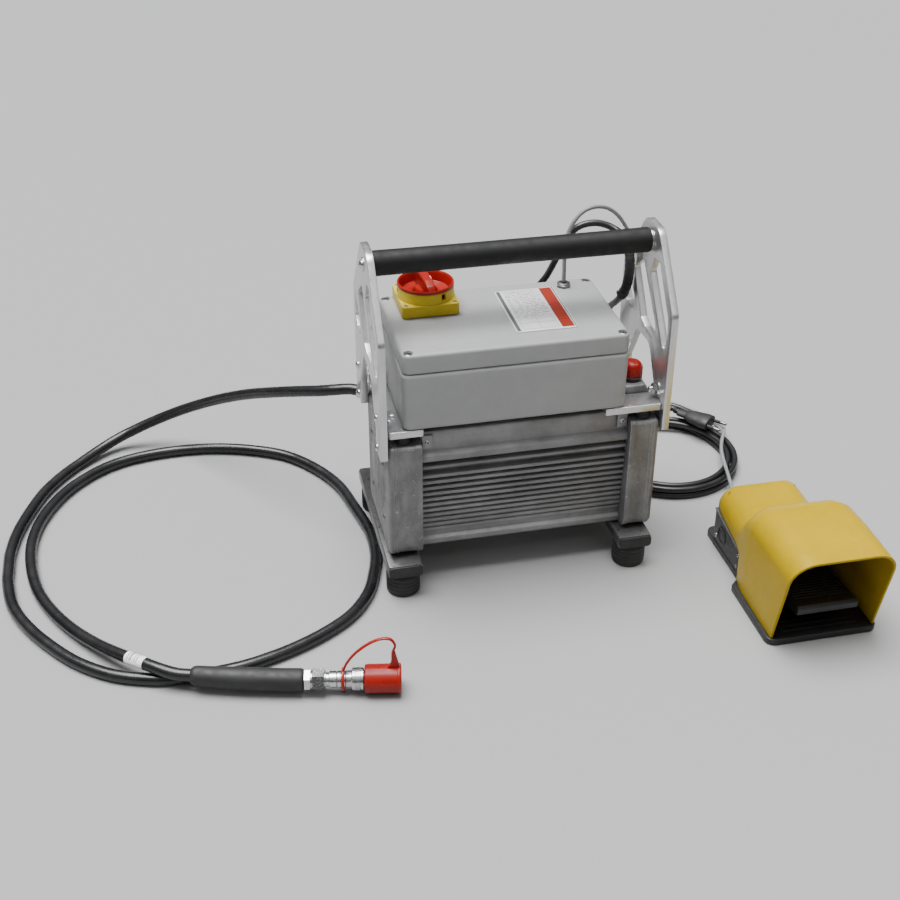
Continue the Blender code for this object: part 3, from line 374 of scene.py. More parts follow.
def make_finishes():
    made = {
        "cast": Finish("cast_aluminium", (0.205, 0.205, 0.207), 0.6, 0.6)
        .vary(22, 0.20).vary(70, 0.22, (1, 1, 0.3)).specks((0.10, 0.10, 0.10), 300, 0.36, 0.6)
        .specks((0.48, 0.48, 0.47), 190, 0.36, 0.5).rough(90, 0.14).grain(650, 0.00025)
        .grain(90, 0.0007, strength=0.8)
        .worn_edges((0.66, 0.66, 0.65), 0.0009, 0.9).done(),
        "body": Finish("cast_aluminium", (0.235, 0.235, 0.238), 0.55, 0.5, "finned_body_finish")
        .vary(25, 0.16).vary(60, 0.18, (0.12, 1, 1)).specks((0.10, 0.10, 0.10), 380, 0.34, 0.5)
        .rough(120, 0.12).grain(800, 0.00014)
        .worn_edges((0.74, 0.74, 0.73), 0.0006, 0.75).done(),
        "paint": Finish("grey_paint", (0.305, 0.308, 0.31), 0.38)
        .vary(9, 0.04).vary(70, 0.03).specks((0.22, 0.22, 0.22), 900, 0.27, 0.35)
        .rough(60, 0.07).grain(1500, 0.00006).grain(260, 0.00005)
        .worn_edges((0.62, 0.63, 0.64), 0.0008, 0.8).done(),
        "red": Finish("red_plastic", (0.28, 0.008, 0.004), 0.34)
        .vary(60, 0.09).specks((0.30, 0.01, 0.01), 600, 0.29, 0.5).rough(200, 0.08)
        .grain(1600, 0.00004)
        .gloss(0.3)
        .worn_edges((0.42, 0.03, 0.02), 0.0006, 0.5).done(),
        "black": Finish("black_plastic", (0.013, 0.013, 0.0135), 0.45)
        .vary(40, 0.25).specks((0.09, 0.09, 0.085), 700, 0.29, 0.35).rough(160, 0.10)
        .grain(1700, 0.00006)
        .worn_edges((0.085, 0.085, 0.085), 0.0008, 0.6).done(),
        "rubber": Finish("black_rubber", (0.015, 0.015, 0.0155), 0.58)
        .vary(30, 0.25).specks((0.07, 0.07, 0.068), 480, 0.31, 0.35).rough(120, 0.10)
        .grain(1200, 0.00011)
        .worn_edges((0.07, 0.07, 0.07), 0.0008, 0.5).done(),
        "grip": Finish("black_rubber", (0.004, 0.004, 0.0042), 0.6, 0.0, "grip_foam_finish")
        .gloss(0.35)
        .vary(25, 0.22).specks((0.045, 0.045, 0.045), 380, 0.33, 0.4).rough(90, 0.09)
        .grain(900, 0.00025).grain(70, 0.0003, strength=0.4).done(),
        "grey_cable": Finish("grey_cable", (0.22, 0.22, 0.225), 0.42)
        .vary(40, 0.10).specks((0.12, 0.12, 0.12), 500, 0.30, 0.4).rough(120, 0.08)
        .grain(900, 0.00006).done(),
        "copper": Finish("copper_winding", (0.55, 0.20, 0.09), 0.35, 1.0)
        .vary(60, 0.2).rough(300, 0.1).grain(900, 0.0003, (0.05, 1, 1))
        .done(),
    }
    made.update({
        "plate": plate_aluminium(), "rail": plate_aluminium("rail_aluminium_finish", (0.19, 0.19, 0.19)),
        "steel": steel(), "dark_steel": steel("dark_steel_finish", (0.22, 0.22, 0.22), 0.38),
        "yellow": yellow_plastic(),
        "switch_yellow": yellow_plastic("switch_yellow_finish", (0.58, 0.43, 0.03)), "hose": hose_rubber(),
        "mains": hose_rubber("mains_cable_finish", 0.36, 0.00003), "foil": label_foil(),
        "foil_dark": label_foil("label_dark_finish", (0.10, 0.10, 0.11), 0.1),
        "foil_grey": label_foil("label_grey_finish", (0.33, 0.33, 0.34), 0.1),
        "foil_red": label_foil("label_red_finish", (0.24, 0.02, 0.008), 0.0),
        # The white finish is the marker sleeve's own colour and also the painted highlight on the switch
        # handle.
        "white": label_foil("white_sleeve_and_painted_glint_finish", (0.85, 0.85, 0.84), 0.0),
    })
    return made


# ------------------------------------------------------------- shape helpers
def circle(radius, count, centre=(0, 0), start=0):
    turns = [math.radians(start) + 2 * math.pi * i / count for i in range(count)]
    return [(centre[0] + radius * math.cos(a), centre[1] + radius * math.sin(a)) for a in turns]


def arc(centre, radius, start, end, count):
    turns = [math.radians(start + (end - start) * i / count) for i in range(count + 1)]
    return [(centre[0] + radius * math.cos(a), centre[1] + radius * math.sin(a)) for a in turns]


def rounded(corners, radius=0.0, steps=6, closed=True):
    """The outline with each corner turned into an arc; a corner may name its own radius as a third value."""
    outline = []
    count = len(corners)
    for i, corner in enumerate(corners):
        here = Vector(corner[:2])
        own = corner[2] if len(corner) > 2 else radius
        if own <= 0 or (not closed and i in (0, count - 1)):
            outline.append(tuple(here))
            continue
        before = Vector(corners[i - 1][:2]) - here
        after = Vector(corners[(i + 1) % count][:2]) - here
        half = before.angle(after) / 2
        own = min(own, 0.45 * math.tan(half) * min(before.length, after.length))
        before.normalize()
        after.normalize()
        middle = here + (before + after).normalized() * own / math.sin(half)
        first = here + before * own / math.tan(half) - middle
        sweep = first.angle_signed(here + after * own / math.tan(half) - middle)
        for step in range(steps + 1):
            turn = -sweep * step / steps
            x = first.x * math.cos(turn) - first.y * math.sin(turn)
            y = first.x * math.sin(turn) + first.y * math.cos(turn)
            outline.append((middle.x + x, middle.y + y))
    return outline


def mirrored(half):
    """The outline's half, given as (u, v, radius), and its mirror image in u, going round."""
    return half + [(-u, v, r) for u, v, r in reversed(half)]


def rectangle(low, high, radius=0.0, steps=6):
    corners = [(low[0], low[1]), (high[0], low[1]), (high[0], high[1]), (low[0], high[1])]
    return rounded(corners, radius, steps)


PLANES = {
    "XY": Matrix.Identity(4),
    "YZ": Matrix(((0, 0, 1, 0), (1, 0, 0, 0), (0, 1, 0, 0), (0, 0, 0, 1))),
    "XZ": Matrix(((1, 0, 0, 0), (0, 0, -1, 0), (0, 1, 0, 0), (0, 0, 0, 1))),
}


def line_matrix(origin, direction):
    """Turns local Z along direction at a point, with local Y as near up as it can be."""
    turn = Vector(direction).to_track_quat("Z", "Y").to_matrix().to_4x4()
    return Matrix.Translation(Vector(origin)) @ turn


def turned(place, degrees):
    """A place on the plan, turned about the vertical."""
    return Matrix.Translation((*place, 0)) @ Matrix.Rotation(math.radians(degrees), 4, "Z")


def add_mesh(bm, mesh, finish=0):
    first = len(bm.faces)
    bm.from_mesh(mesh)
    bm.faces.ensure_lookup_table()
    for face in bm.faces[first:]:
        face.material_index = finish


def add_plate(bm, outline, low, high, plane="XY", holes=(), edge=0.0, steps=2, turn=None, finish=0):
    """A flat outline with holes between two levels, its edges rounded by edge."""
    curve = bpy.data.curves.new("outline", "CURVE")
    curve.dimensions = "2D"
    curve.fill_mode = "BOTH"
    curve.extrude = (high - low) / 2 - edge
    curve.bevel_depth = edge
    curve.bevel_resolution = steps
    curve.offset = -edge
    for ring in (outline, *holes):
        spline = curve.splines.new("POLY")
        spline.points.add(len(ring) - 1)
        for point, (u, v) in zip(spline.points, ring):
            point.co = (u, v, 0, 1)
        spline.use_cyclic_u = True
    holder = bpy.data.objects.new("outline", curve)
    mesh = bpy.data.meshes.new_from_object(holder)
    level = (low + high) / 2 if plane != "XZ" else -(low + high) / 2
    mesh.transform((turn or Matrix.Identity(4)) @ PLANES[plane] @ Matrix.Translation((0, 0, level)))
    add_mesh(bm, mesh, finish)
    bpy.data.objects.remove(holder)
    bpy.data.curves.remove(curve)
    bpy.data.meshes.remove(mesh)


def add_rows(bm, rows, finish=0, closed=False, caps=True):
    """Skins rows of points, each row a closed ring or one point."""
    rings = [[bm.verts.new(point) for point in row] for row in rows]
    pairs = list(zip(rings, rings[1:])) + ([(rings[-1], rings[0])] if closed else [])
    for upper, lower in pairs:
        count = max(len(upper), len(lower))
        for i in range(count):
            j = (i + 1) % count
            corners = [upper[i % len(upper)], upper[j % len(upper)], lower[j % len(lower)],
                       lower[i % len(lower)]]
            kept = [v for k, v in enumerate(corners) if v not in corners[:k]]
            bm.faces.new(kept).material_index = finish
    if caps and not closed:
        for ring in (rings[0], rings[-1]):
            if len(ring) > 2:
                bm.faces.new(ring).material_index = finish


def add_lathe(bm, profile, place=(0, 0, 0), sides=48, closed=False, finish=0, start=0, caps=True):
    """A turned shape from (radius, height) points, upright on a point or along a matrix's Z."""
    turn = place if isinstance(place, Matrix) else line_matrix(place, (0, 0, 1))
    rows = []
    for radius, height in profile:
        ring = [(0, 0)] if radius < 1e-6 else circle(radius, sides, start=start)
        rows.append([turn @ Vector((x, y, height)) for x, y in ring])
    add_rows(bm, rows, finish, closed, caps)


def add_box(bm, low, high, edge=0.0, steps=2, finish=0, matrix=None):
    low, high = Vector(low), Vector(high)
    part = bmesh.new()
    bmesh.ops.create_cube(part, size=1)
    bmesh.ops.scale(part, vec=high - low, verts=part.verts)
    bmesh.ops.translate(part, vec=(low + high) / 2, verts=part.verts)
    if edge:
        bmesh.ops.bevel(part, geom=part.edges[:], offset=edge, segments=steps, profile=0.5, affect="EDGES")
    mesh = bpy.data.meshes.new("block")
    part.to_mesh(mesh)
    part.free()
    if matrix:
        mesh.transform(matrix)
    add_mesh(bm, mesh, finish)
    bpy.data.meshes.remove(mesh)


def add_ribs(bm, count, low, high, matrix):
    """Boxes at even steps round a matrix's Z, the first one between low and high."""
    for i in range(count):
        add_box(bm, low, high, matrix=matrix @ Matrix.Rotation(2 * math.pi * i / count, 4, "Z"))


def frames_along(points):
    """A matrix at each point of a line, its Z along the line, turning as little as it can."""
    points = [Vector(p) for p in points]
    ahead = [points[min(i + 1, len(points) - 1)] - points[max(i - 1, 0)] for i in range(len(points))]
    up = ahead[0].to_track_quat("Z", "Y") @ Vector((0, 1, 0))
    made = []
    for point, direction in zip(points, ahead):
        direction = direction.normalized()
        up = (up - direction * up.dot(direction)).normalized()
        across = up.cross(direction)
        made.append(Matrix((
            (across.x, up.x, direction.x, point.x), (across.y, up.y, direction.y, point.y),
            (across.z, up.z, direction.z, point.z), (0, 0, 0, 1),
        )))
    return made


def add_sweep(bm, points, section, scales=None):
    """Sweeps a flat section, given as (u, v) points, along a line."""
    rows = []
    for i, matrix in enumerate(frames_along(points)):
        scale = scales[i] if scales else 1
        rows.append([matrix @ Vector((u * scale, v * scale, 0)) for u, v in section])
    add_rows(bm, rows)


def add_screw(bm, origin, axis, radius=4.5, height=3.2, finish=0, socket=1):
    """A button-head screw with a hexagon socket, standing on a face."""
    matrix = line_matrix(origin, axis)
    key = radius * 0.45
    head = [(0, height * 0.45), (key, height * 0.45)]
    # Painted shade: the socket's floor and walls take the socket finish, darker than the head in most screws.
    add_lathe(bm, head, matrix, 6, finish=socket)
    add_lathe(bm, [(key, height * 0.45), (key, height)], matrix, 6, finish=socket, caps=False)
    dome = rounded([(key, height), (radius * 0.62, height), (radius, height * 0.35), (radius, 0)], 1.2, 4,
                   False)
    add_lathe(bm, [(key, dome[0][1]), *dome[1:]], matrix, 24, finish=finish, caps=False)


def add_disc(bm, radius, low, high, place=(0, 0, 0), sides=48, finish=0):
    add_lathe(bm, [(0, high), (radius, high), (radius, low), (0, low)], place, sides, finish=finish)


def add_hex(bm, low, high, across, matrix, chamfer=0.8, start=0):
    """A hexagon across its corners, with chamfered ends."""
    profile = [(0, high), (across - chamfer, high), (across, high - chamfer * 0.6),
               (across, low + chamfer * 0.6), (across - chamfer, low), (0, low)]
    add_lathe(bm, profile, matrix, 6, start=start)


def shade(mesh, angle):
    mesh.shade_smooth()
    mesh.set_sharp_from_angle(angle=math.radians(angle))


def make_piece(name, bm, finishes, replaces=(), body="root", angle=38):
    """Makes a piece of the bmesh, which is in the unit's millimetres, and puts it on a CAD body."""
    finishes = finishes if isinstance(finishes, (list, tuple)) else [finishes]
    bmesh.ops.remove_doubles(bm, verts=bm.verts, dist=0.002)
    bmesh.ops.recalc_face_normals(bm, faces=bm.faces)
    bmesh.ops.transform(bm, matrix=TO_FRAME, verts=bm.verts)
    mesh = bpy.data.meshes.new(name)
    bm.to_mesh(mesh)
    bm.free()
    for finish in finishes:
        mesh.materials.append(FINISHES[finish])
    shade(mesh, angle)
    piece = linked(name, mesh)
    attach(piece, body)
    if replaces:
        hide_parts(*replaces)
    return piece


def cut_away(piece, cutters):
    """Cuts closed shapes, in the unit's millimetres, out of a piece, and applies the result."""
    bmesh.ops.recalc_face_normals(cutters, faces=cutters.faces)
    bmesh.ops.transform(cutters, matrix=TO_FRAME, verts=cutters.verts)
    mesh = bpy.data.meshes.new("cutter")
    cutters.to_mesh(mesh)
    cutters.free()
    tool = linked("cutter", mesh)
    modifier = piece.modifiers.new("cut", "BOOLEAN")
    modifier.operation, modifier.solver, modifier.object = "DIFFERENCE", "EXACT", tool
    bpy.context.view_layer.update()
    graph = bpy.context.evaluated_depsgraph_get()
    made = bpy.data.meshes.new_from_object(piece.evaluated_get(graph), depsgraph=graph)
    piece.modifiers.clear()
    piece.data = made
    bpy.data.objects.remove(tool)
    shade(made, 38)


# -------------------------------------------------------------------- cords
def smooth_line(points, spacing, floor=None):
    """Points every spacing along one smooth curve through the given points, none lower than floor."""
    points = [Vector(p) for p in points]
    ends = [2 * points[0] - points[1], *points, 2 * points[-1] - points[-2]]
    fine = []
    for a, b, c, d in zip(ends, ends[1:], ends[2:], ends[3:]):
        for step in range(16):
            t = step / 16
            bend = (2 * a - 5 * b + 4 * c - d) * t * t + (3 * b - a - 3 * c + d) * t**3
            fine.append(b + ((c - a) * t + bend) / 2)
    fine.append(points[-1])
    walked = [0.0]
    for start, end in zip(fine, fine[1:]):
        walked.append(walked[-1] + (end - start).length)
    whole = walked[-1]
    count = max(2, round(whole / spacing))
    route, i = [], 0
    for step in range(count + 1):
        target = whole * step / count
        while i < len(walked) - 2 and walked[i + 1] < target:
            i += 1
        point = fine[i].lerp(fine[i + 1], (target - walked[i]) / (walked[i + 1] - walked[i]))
        if floor is not None:
            point.z = max(point.z, floor)
        route.append(point)
    return route


def kept_inside(points, radius):
    """The points, moved in where a cord of this radius would stand out of the design's box."""
    low, high = CAD_BOX
    reach = Vector((radius, radius, radius))
    inner_low, inner_high = (low - ORIGIN) / MM + reach, (high - ORIGIN) / MM - reach
    return [Vector(min(max(v, a), b) for v, a, b in zip(p, inner_low, inner_high)) for p in points]


def cord_piece(name, points, radius, finish, replaces, resolution=4):
    """A round cord along the points, as a curve."""
    curve = bpy.data.curves.new(name, "CURVE")
    curve.dimensions = "3D"
    curve.bevel_depth = radius * MM
    curve.bevel_resolution = resolution
    curve.use_fill_caps = True
    spline = curve.splines.new("POLY")
    spline.points.add(len(points) - 1)
    for point, place in zip(spline.points, points):
        point.co = (*at(place), 1)
    spline.use_smooth = True
    curve.materials.append(FINISHES[finish])
    piece = linked(name, curve)
    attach(piece, "root")
    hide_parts(*replaces)
    return piece


def hose_points():
    outlet = OUTLET_START + OUTLET_DIRECTION * (OUTLET_LENGTH + CORD_GAP)
    end = COUPLER_START - COUPLER_DIRECTION * 1.5
    route = smooth_line([outlet, *HOSE_ROUTE, *SLEEVE_ROUTE, end], 8, HOSE_RADIUS + 0.05)
    return kept_inside(route, HOSE_RADIUS)


def coil_turn(angle):
    """Height and radius of the cable's middle after it has turned by angle degrees into the coil."""
    steps = [
        (0, 96.6, 4.3), (50, 87.8, 4.3), (330, 87.8, 4.3), (380, 78.4, 4.3), (640, 78.4, 4.3),
        (690, 78.4, 12.6), (950, 78.4, 12.6), (1000, 87.8, 12.6), (1285, 87.8, 12.6), (1360, 90.0, 22.6),
    ]
    for (before, r0, z0), (after, r1, z1) in zip(steps, steps[1:]):
        if angle <= after:
            share = (angle - before) / (after - before)
            share = share * share * (3 - 2 * share)
            return r0 + (r1 - r0) * share, z0 + (z1 - z0) * share
    return steps[-1][1:]


def plug_line():
    """Middle of the plug on top of the coil, and the way that its pins point."""
    turn = math.radians(PLUG_TURN)
    middle = (COIL_INNER + COIL_OUTER) / 2
    spoke = Vector((math.cos(turn), math.sin(turn), 0))
    height = COIL_HEIGHT + GAP + PLUG_RADIUS * PLUG_FLATTENING
    return COIL_CENTRE + spoke * middle + Vector((0, 0, height)), Vector((math.sin(turn), -math.cos(turn), 0))


def mains_points():
    x, z = MAINS_GLAND
    route = [(x, MAINS_GLAND_END + CORD_GAP, z), *MAINS_ROUTE]
    for angle in range(0, 1361, 20):
        radius, height = coil_turn(angle)
        turn = math.radians(34 - angle)
        route.append(COIL_CENTRE + Vector((radius * math.cos(turn), radius * math.sin(turn), height)))
    middle, forward = plug_line()
    tail = middle - forward * (PLUG_LENGTH / 2 + PLUG_TAIL)
    route += [tail - forward * 16, tail - forward * 6, tail - forward * 0.5]
    return kept_inside(smooth_line(route, 6, MAINS_RADIUS + 0.05), MAINS_RADIUS)


def lead_points():
    x, y = LID_GLAND
    start = (x, y, LID_GLAND_TOP + CORD_GAP)
    end_y = PEDAL_BODY_Y[1] + GAP + 20.5 + CORD_GAP
    before, end = (PEDAL_GLAND_X, end_y + 14, PEDAL_GLAND_Z), (PEDAL_GLAND_X, end_y, PEDAL_GLAND_Z)
    route = smooth_line([start, *LEAD_ROUTE, before, end], 6, LEAD_RADIUS + 0.05)
    return kept_inside(route, LEAD_RADIUS)


def make_cords():
    """The three free cords, after the pieces that are on them."""
    points = hose_points()
    hose = cord_piece("hose_line", points, HOSE_RADIUS, "hose", ["hose"], 6)
    points = mains_points()
    mains = cord_piece("mains_lead_line", points, MAINS_RADIUS, "mains", ["mains_cable", "mains_coil"])
    points = lead_points()
    lead = cord_piece("foot_switch_lead_line", points, LEAD_RADIUS, "grey_cable", ["foot_switch_lead"], 3)


# ------------------------------------------------------- motor body and base
def fin_middles():
    return [155.0] + [142 - 8.5 * i + 0.1 * i * i for i in range(FIN_COUNT - 1)]


def body_side():
    """The rear half of the body's section from the top down, as (y, z, corner radius)."""
    side = [(63, 200, 2.5), (63, 176, 1.5), (69, 171, 1.5), (69, 164, 1.5), (FIN_ROOT, 163, 0.8)]
    for middle in fin_middles():
        reach = 58 + 8 * (middle - 67) / 88
        side += [
            (FIN_ROOT, middle + 2.7, 0.8), (reach, middle + 2.1, 1.5), (reach, middle - 2.1, 1.5),
            (FIN_ROOT, middle - 2.7, 0.8),
        ]
    return side + [(FIN_ROOT, 58, 0.6), (60, 55, 1), (60, 48, 1.5)]


def make_motor_body():
    bm = bmesh.new()
    section = rounded(mirrored(body_side()), steps=3)
    add_plate(bm, section, *BODY_X, "YZ", [circle(50, 64, (0, 122))], edge=0.3, steps=1)
    for sign in (-1, 1):
        for x in (BODY_X[0] + 7, BODY_X[1] - 7):
            add_box(bm, (x - 6, min(62 * sign, 66.5 * sign), 180),
                    (x + 6, max(62 * sign, 66.5 * sign), 197), 1.5)
            add_screw(bm, (x, 66.3 * sign, 189), (0, sign, 0), 3.2, 2.4, finish=1, socket=2)
    make_piece("finned_motor_body", bm, ["body", "steel", "dark_steel"], ["motor_body"])


def casting_section(inset):
    """The casting's outline in the YZ plane, drawn in by inset."""
    low, high = (CAST_Y[0] + inset, CAST_Z[0] + inset), (CAST_Y[1] - inset, CAST_Z[1] - inset)
    corners = [
        (low[0], low[1], 15 - inset), (high[0], low[1], 15 - inset), (high[0], high[1], 6 - inset * 0.8),
        (low[0], high[1], 6 - inset * 0.8),
    ]
    return rounded(corners, steps=8)


def make_castings():
    """End castings whose flanges stand proud of a shallow channel that runs round them."""
    profile = [
        (38.0, 6.0), (37.7, 4.0), (36.8, 2.0), (35.4, 0.7), (33.8, 0.1), (31.8, 0.0), (31.2, 0.5),
        (30.0, 0.6), (29.4, 0.1), (27.6, 0.0), (26.8, 0.8), (8.2, 0.9), (6.8, 0.2), (5.8, 0.0), (1.0, 0.0),
        (0.2, 0.5), (0.0, 1.2),
    ]
    for side, inner, scale, sign in (("left", -116.0, 38.0, -1), ("right", 120.0, 34.0, 1)):
        bm = bmesh.new()
        rows = []
        for depth, inset in profile:
            x = inner + sign * depth * scale / 38.0
            rows.append([Vector((x, y, z)) for y, z in casting_section(inset)])
        add_rows(bm, rows)
        outer = inner + sign * scale
        matrix = line_matrix((outer - sign * 0.6, -7, 117), (sign, 0, 0))
        add_lathe(bm, [(0, 1.8), (39, 1.8), (41, 0.8), (41, 0), (0, 0)], matrix, sides=64)
        add_lathe(bm, [(0, 2.6), (14, 2.6), (16, 1.6), (16, 0), (0, 0)], matrix)
        for y, z in circle(50, 4, (-7, 117), 45):
            add_screw(bm, (outer - sign * 0.4, y, z), (sign, 0, 0), 4.0, 2.2, finish=2, socket=2)
        make_piece(f"end_cover_{side}", bm, ["cast", "steel", "dark_steel"], [f"end_casting_{side}"],
                   angle=30)


def make_rails():
    """Hollow rails with rounded corners, and black plugs in both ends."""
    cap = 3.2
    for side, (low, high) in RAILS.items():
        bm = bmesh.new()
        outer = rectangle((low, RAIL_Z[0]), (high, RAIL_Z[1]), 2.4)
        inner = rectangle((low + 2.5, RAIL_Z[0] + 2.5), (high - 2.5, RAIL_Z[1] - 2.5), 1)
        add_plate(bm, outer, RAIL_Y[0] + cap, RAIL_Y[1] - cap, "XZ", [inner], edge=0.3, steps=1)
        make_piece(f"rail_tube_{side}", bm, "rail", [f"base_rail_{side}"])
        bm = bmesh.new()
        face = rectangle((low + 0.2, RAIL_Z[0] + 0.1), (high - 0.2, RAIL_Z[1] - 0.2), 4.5)
        plug = rectangle((low + 2.8, RAIL_Z[0] + 2.8), (high - 2.8, RAIL_Z[1] - 2.8), 1)
        for sign, end in ((-1, RAIL_Y[0]), (1, RAIL_Y[1])):
            near, far = sorted((end, end - sign * (cap - 0.1)))
            add_plate(bm, face, near, far, "XZ", edge=1.2, steps=3)
            near, far = sorted((end - sign * (cap - 0.5), end - sign * 14))
            add_plate(bm, plug, near, far, "XZ")
        make_piece(f"rail_end_caps_{side}", bm, "rubber")


def make_feet():
    """Rubber buffers with a ribbed skirt, a plated washer on top and a screw seat."""
    skirt = [(0, 28.6), (15.5, 28.6), (17.4, 27.6), (18.3, 25.6)]
    for i in range(4):
        top = 24.0 - 5.2 * i
        skirt += [(19.2, top), (19.3, top - 1.8), (18.7, top - 2.9), (18.7, top - 3.9)]
    skirt += [(19.0, 2.4), (17.8, 0.5), (16.6, 0), (0, 0)]
    for side, (low, high) in RAILS.items():
        for end, y in FOOT_Y.items():
            bm = bmesh.new()
            origin = ((low + high) / 2, y, 0)
            add_lathe(bm, rounded(skirt, 0.5, 2, False), origin)
            add_lathe(bm, [(0, 30), (12.5, 30), (13, 29.6), (13, 28.4), (0, 28.4)], origin, finish=1)
            make_piece(f"rubber_foot_{end}_{side}", bm, ["rubber", "steel"], [f"foot_{end}_{side}"])


# -------------------------------------------------------------- handle frame
def bracket_outline():
    outside = mirrored([(-80, 177, 3), (-80, 317, 14), (-20, 393, 18)])
    inside = mirrored([(50, 177, 3), (50, 207, 11), (21, 256.5, 14)])
    return rounded(outside + inside, steps=8)


def bracket_slots():
    front = [(-15, 359), (-31, 359), (-68, 309), (-70, 292), (-65, 273, 2), (-59, 271, 2), (-4, 339)]
    middle = [(17, 343), (-33, 286), (-34, 280, 2), (-27, 269), (-4, 270), (11, 275), (46, 323)]
    rear = [(36, 272), (60, 274), (70, 283), (70, 312, 3), (62, 308, 3), (39, 291)]
    return [rounded(slot, 4, 6) for slot in (front, middle, rear)]


def make_brackets():
    """Milled side plates, their screws into the castings, and the nuts inside them over the ledges."""
    for side, sign in SIDES.items():
        bm = bmesh.new()
        low, high = sorted((sign * BRACKET_INNER, sign * (BRACKET_INNER + BRACKET_THICK)))
        add_plate(bm, bracket_outline(), low, high, "YZ", bracket_slots(), edge=0.7)
        make_piece(f"handle_side_plate_{side}", bm, "plate", [f"bracket_{side}"])
        bm = bmesh.new()
        outer, inner = sign * (BRACKET_INNER + BRACKET_THICK), sign * BRACKET_INNER
        for y, z in ((-58, 221), (-58, 184), (65, 221), (65, 184)):
            add_screw(bm, (outer, y, z), (sign, 0, 0), 4.6, 2.6)
        add_lathe(bm, [(0, 1.2), (7.2, 1.2), (7.6, 0.8), (7.6, 0), (0, 0)],
                  line_matrix((outer, HANDLE_Y, HANDLE_Z), (sign, 0, 0)))
        add_screw(bm, (outer + sign * 1, HANDLE_Y, HANDLE_Z), (sign, 0, 0), 5.2, 3.2)
        for y in (-57, 60):
            matrix = line_matrix((inner, y, 220), (-sign, 0, 0))
            add_lathe(bm, [(0, 1.2), (7.4, 1.2), (7.8, 0.8), (7.8, 0), (0, 0)], matrix)
            add_hex(bm, 1.2, 6.6, 6.4, matrix)
            add_lathe(bm, [(0, 10.5), (2.6, 10.5), (3.1, 10), (3.1, 6), (0, 6)], matrix, sides=24)
        make_piece(f"side_plate_screws_{side}", bm, ["steel", "dark_steel"])


def make_handle():
    """The soft grip over the handle tube, a little proud at its ends, between two washers."""
    bm = bmesh.new()
    matrix = line_matrix((0, HANDLE_Y, HANDLE_Z), (1, 0, 0))
    inner, outer, half = 8.0, 13.7, HANDLE_HALF
    profile = [(inner, half - 1.4), (12.4, half - 1.4), (13.4, half - 2.2), (outer, half - 4),
               (outer, half - 9)]
    profile += [(outer - 0.45 * math.sin(math.pi * i / 12) ** 0.5,
                 half - 9 - (2 * half - 18) * i / 12) for i in range(1, 12)]
    profile += [(outer, 9 - half), (outer, 4 - half), (13.4, 2.2 - half), (12.4, 1.4 - half),
                (inner, 1.4 - half)]
    add_lathe(bm, profile, matrix, closed=True, sides=56)
    for sign in (-1, 1):
        low, high = sorted((sign * half, sign * (half - 1.2)))
        ring = [(8.0, high), (12.2, high), (12.2, low), (8.0, low)]
        add_lathe(bm, ring, matrix, closed=True, finish=1)
    make_piece("handle_foam_grip", bm, ["grip", "steel"], ["handle_grip"])


def make_supports():
    front, rear = -74, 62
    left = [(-152, front), (-114, front), (-114, rear), (-152, rear)]
    right = [(90, front), (154, front), (154, -45), (109, -45), (109, 35), (154, 35), (154, rear), (90, rear)]
    for side, outline in (("left", left), ("right", right)):
        bm = bmesh.new()
        add_plate(bm, rounded(outline, 2, 4), 201, 209.2, edge=0.8)
        make_piece(f"enclosure_ledge_{side}", bm, "plate", [f"support_plate_{side}"])
    for side, x in (("left", -135), ("right", 138)):
        for end, y in (("front", -60), ("rear", 49)):
            bm = bmesh.new()
            profile = [(0, 200.7), (10, 200.7), (10, 198.9), (8.8, 197.4), (8.4, 195.5), (8.8, 193.6),
                       (10, 192.1), (10, 190.3), (0, 190.3)]
            add_lathe(bm, rounded(profile, 0.5, 3, False), (x, y, 0), sides=40)
            make_piece(f"rubber_buffer_{end}_{side}", bm, "rubber", [f"isolator_{end}_{side}"])


# ----------------------------------------------------------------- enclosure
def box_ring(inset, height):
    """The enclosure's outline at a height, drawn in by inset."""
    low, high = (BOX_X[0] + inset, inset - BOX_HALF_Y), (BOX_X[1] - inset, BOX_HALF_Y - inset)
    return [Vector((x, y, height)) for x, y in rectangle(low, high, max(BOX_CORNER - inset * 0.8, 1.5), 10)]


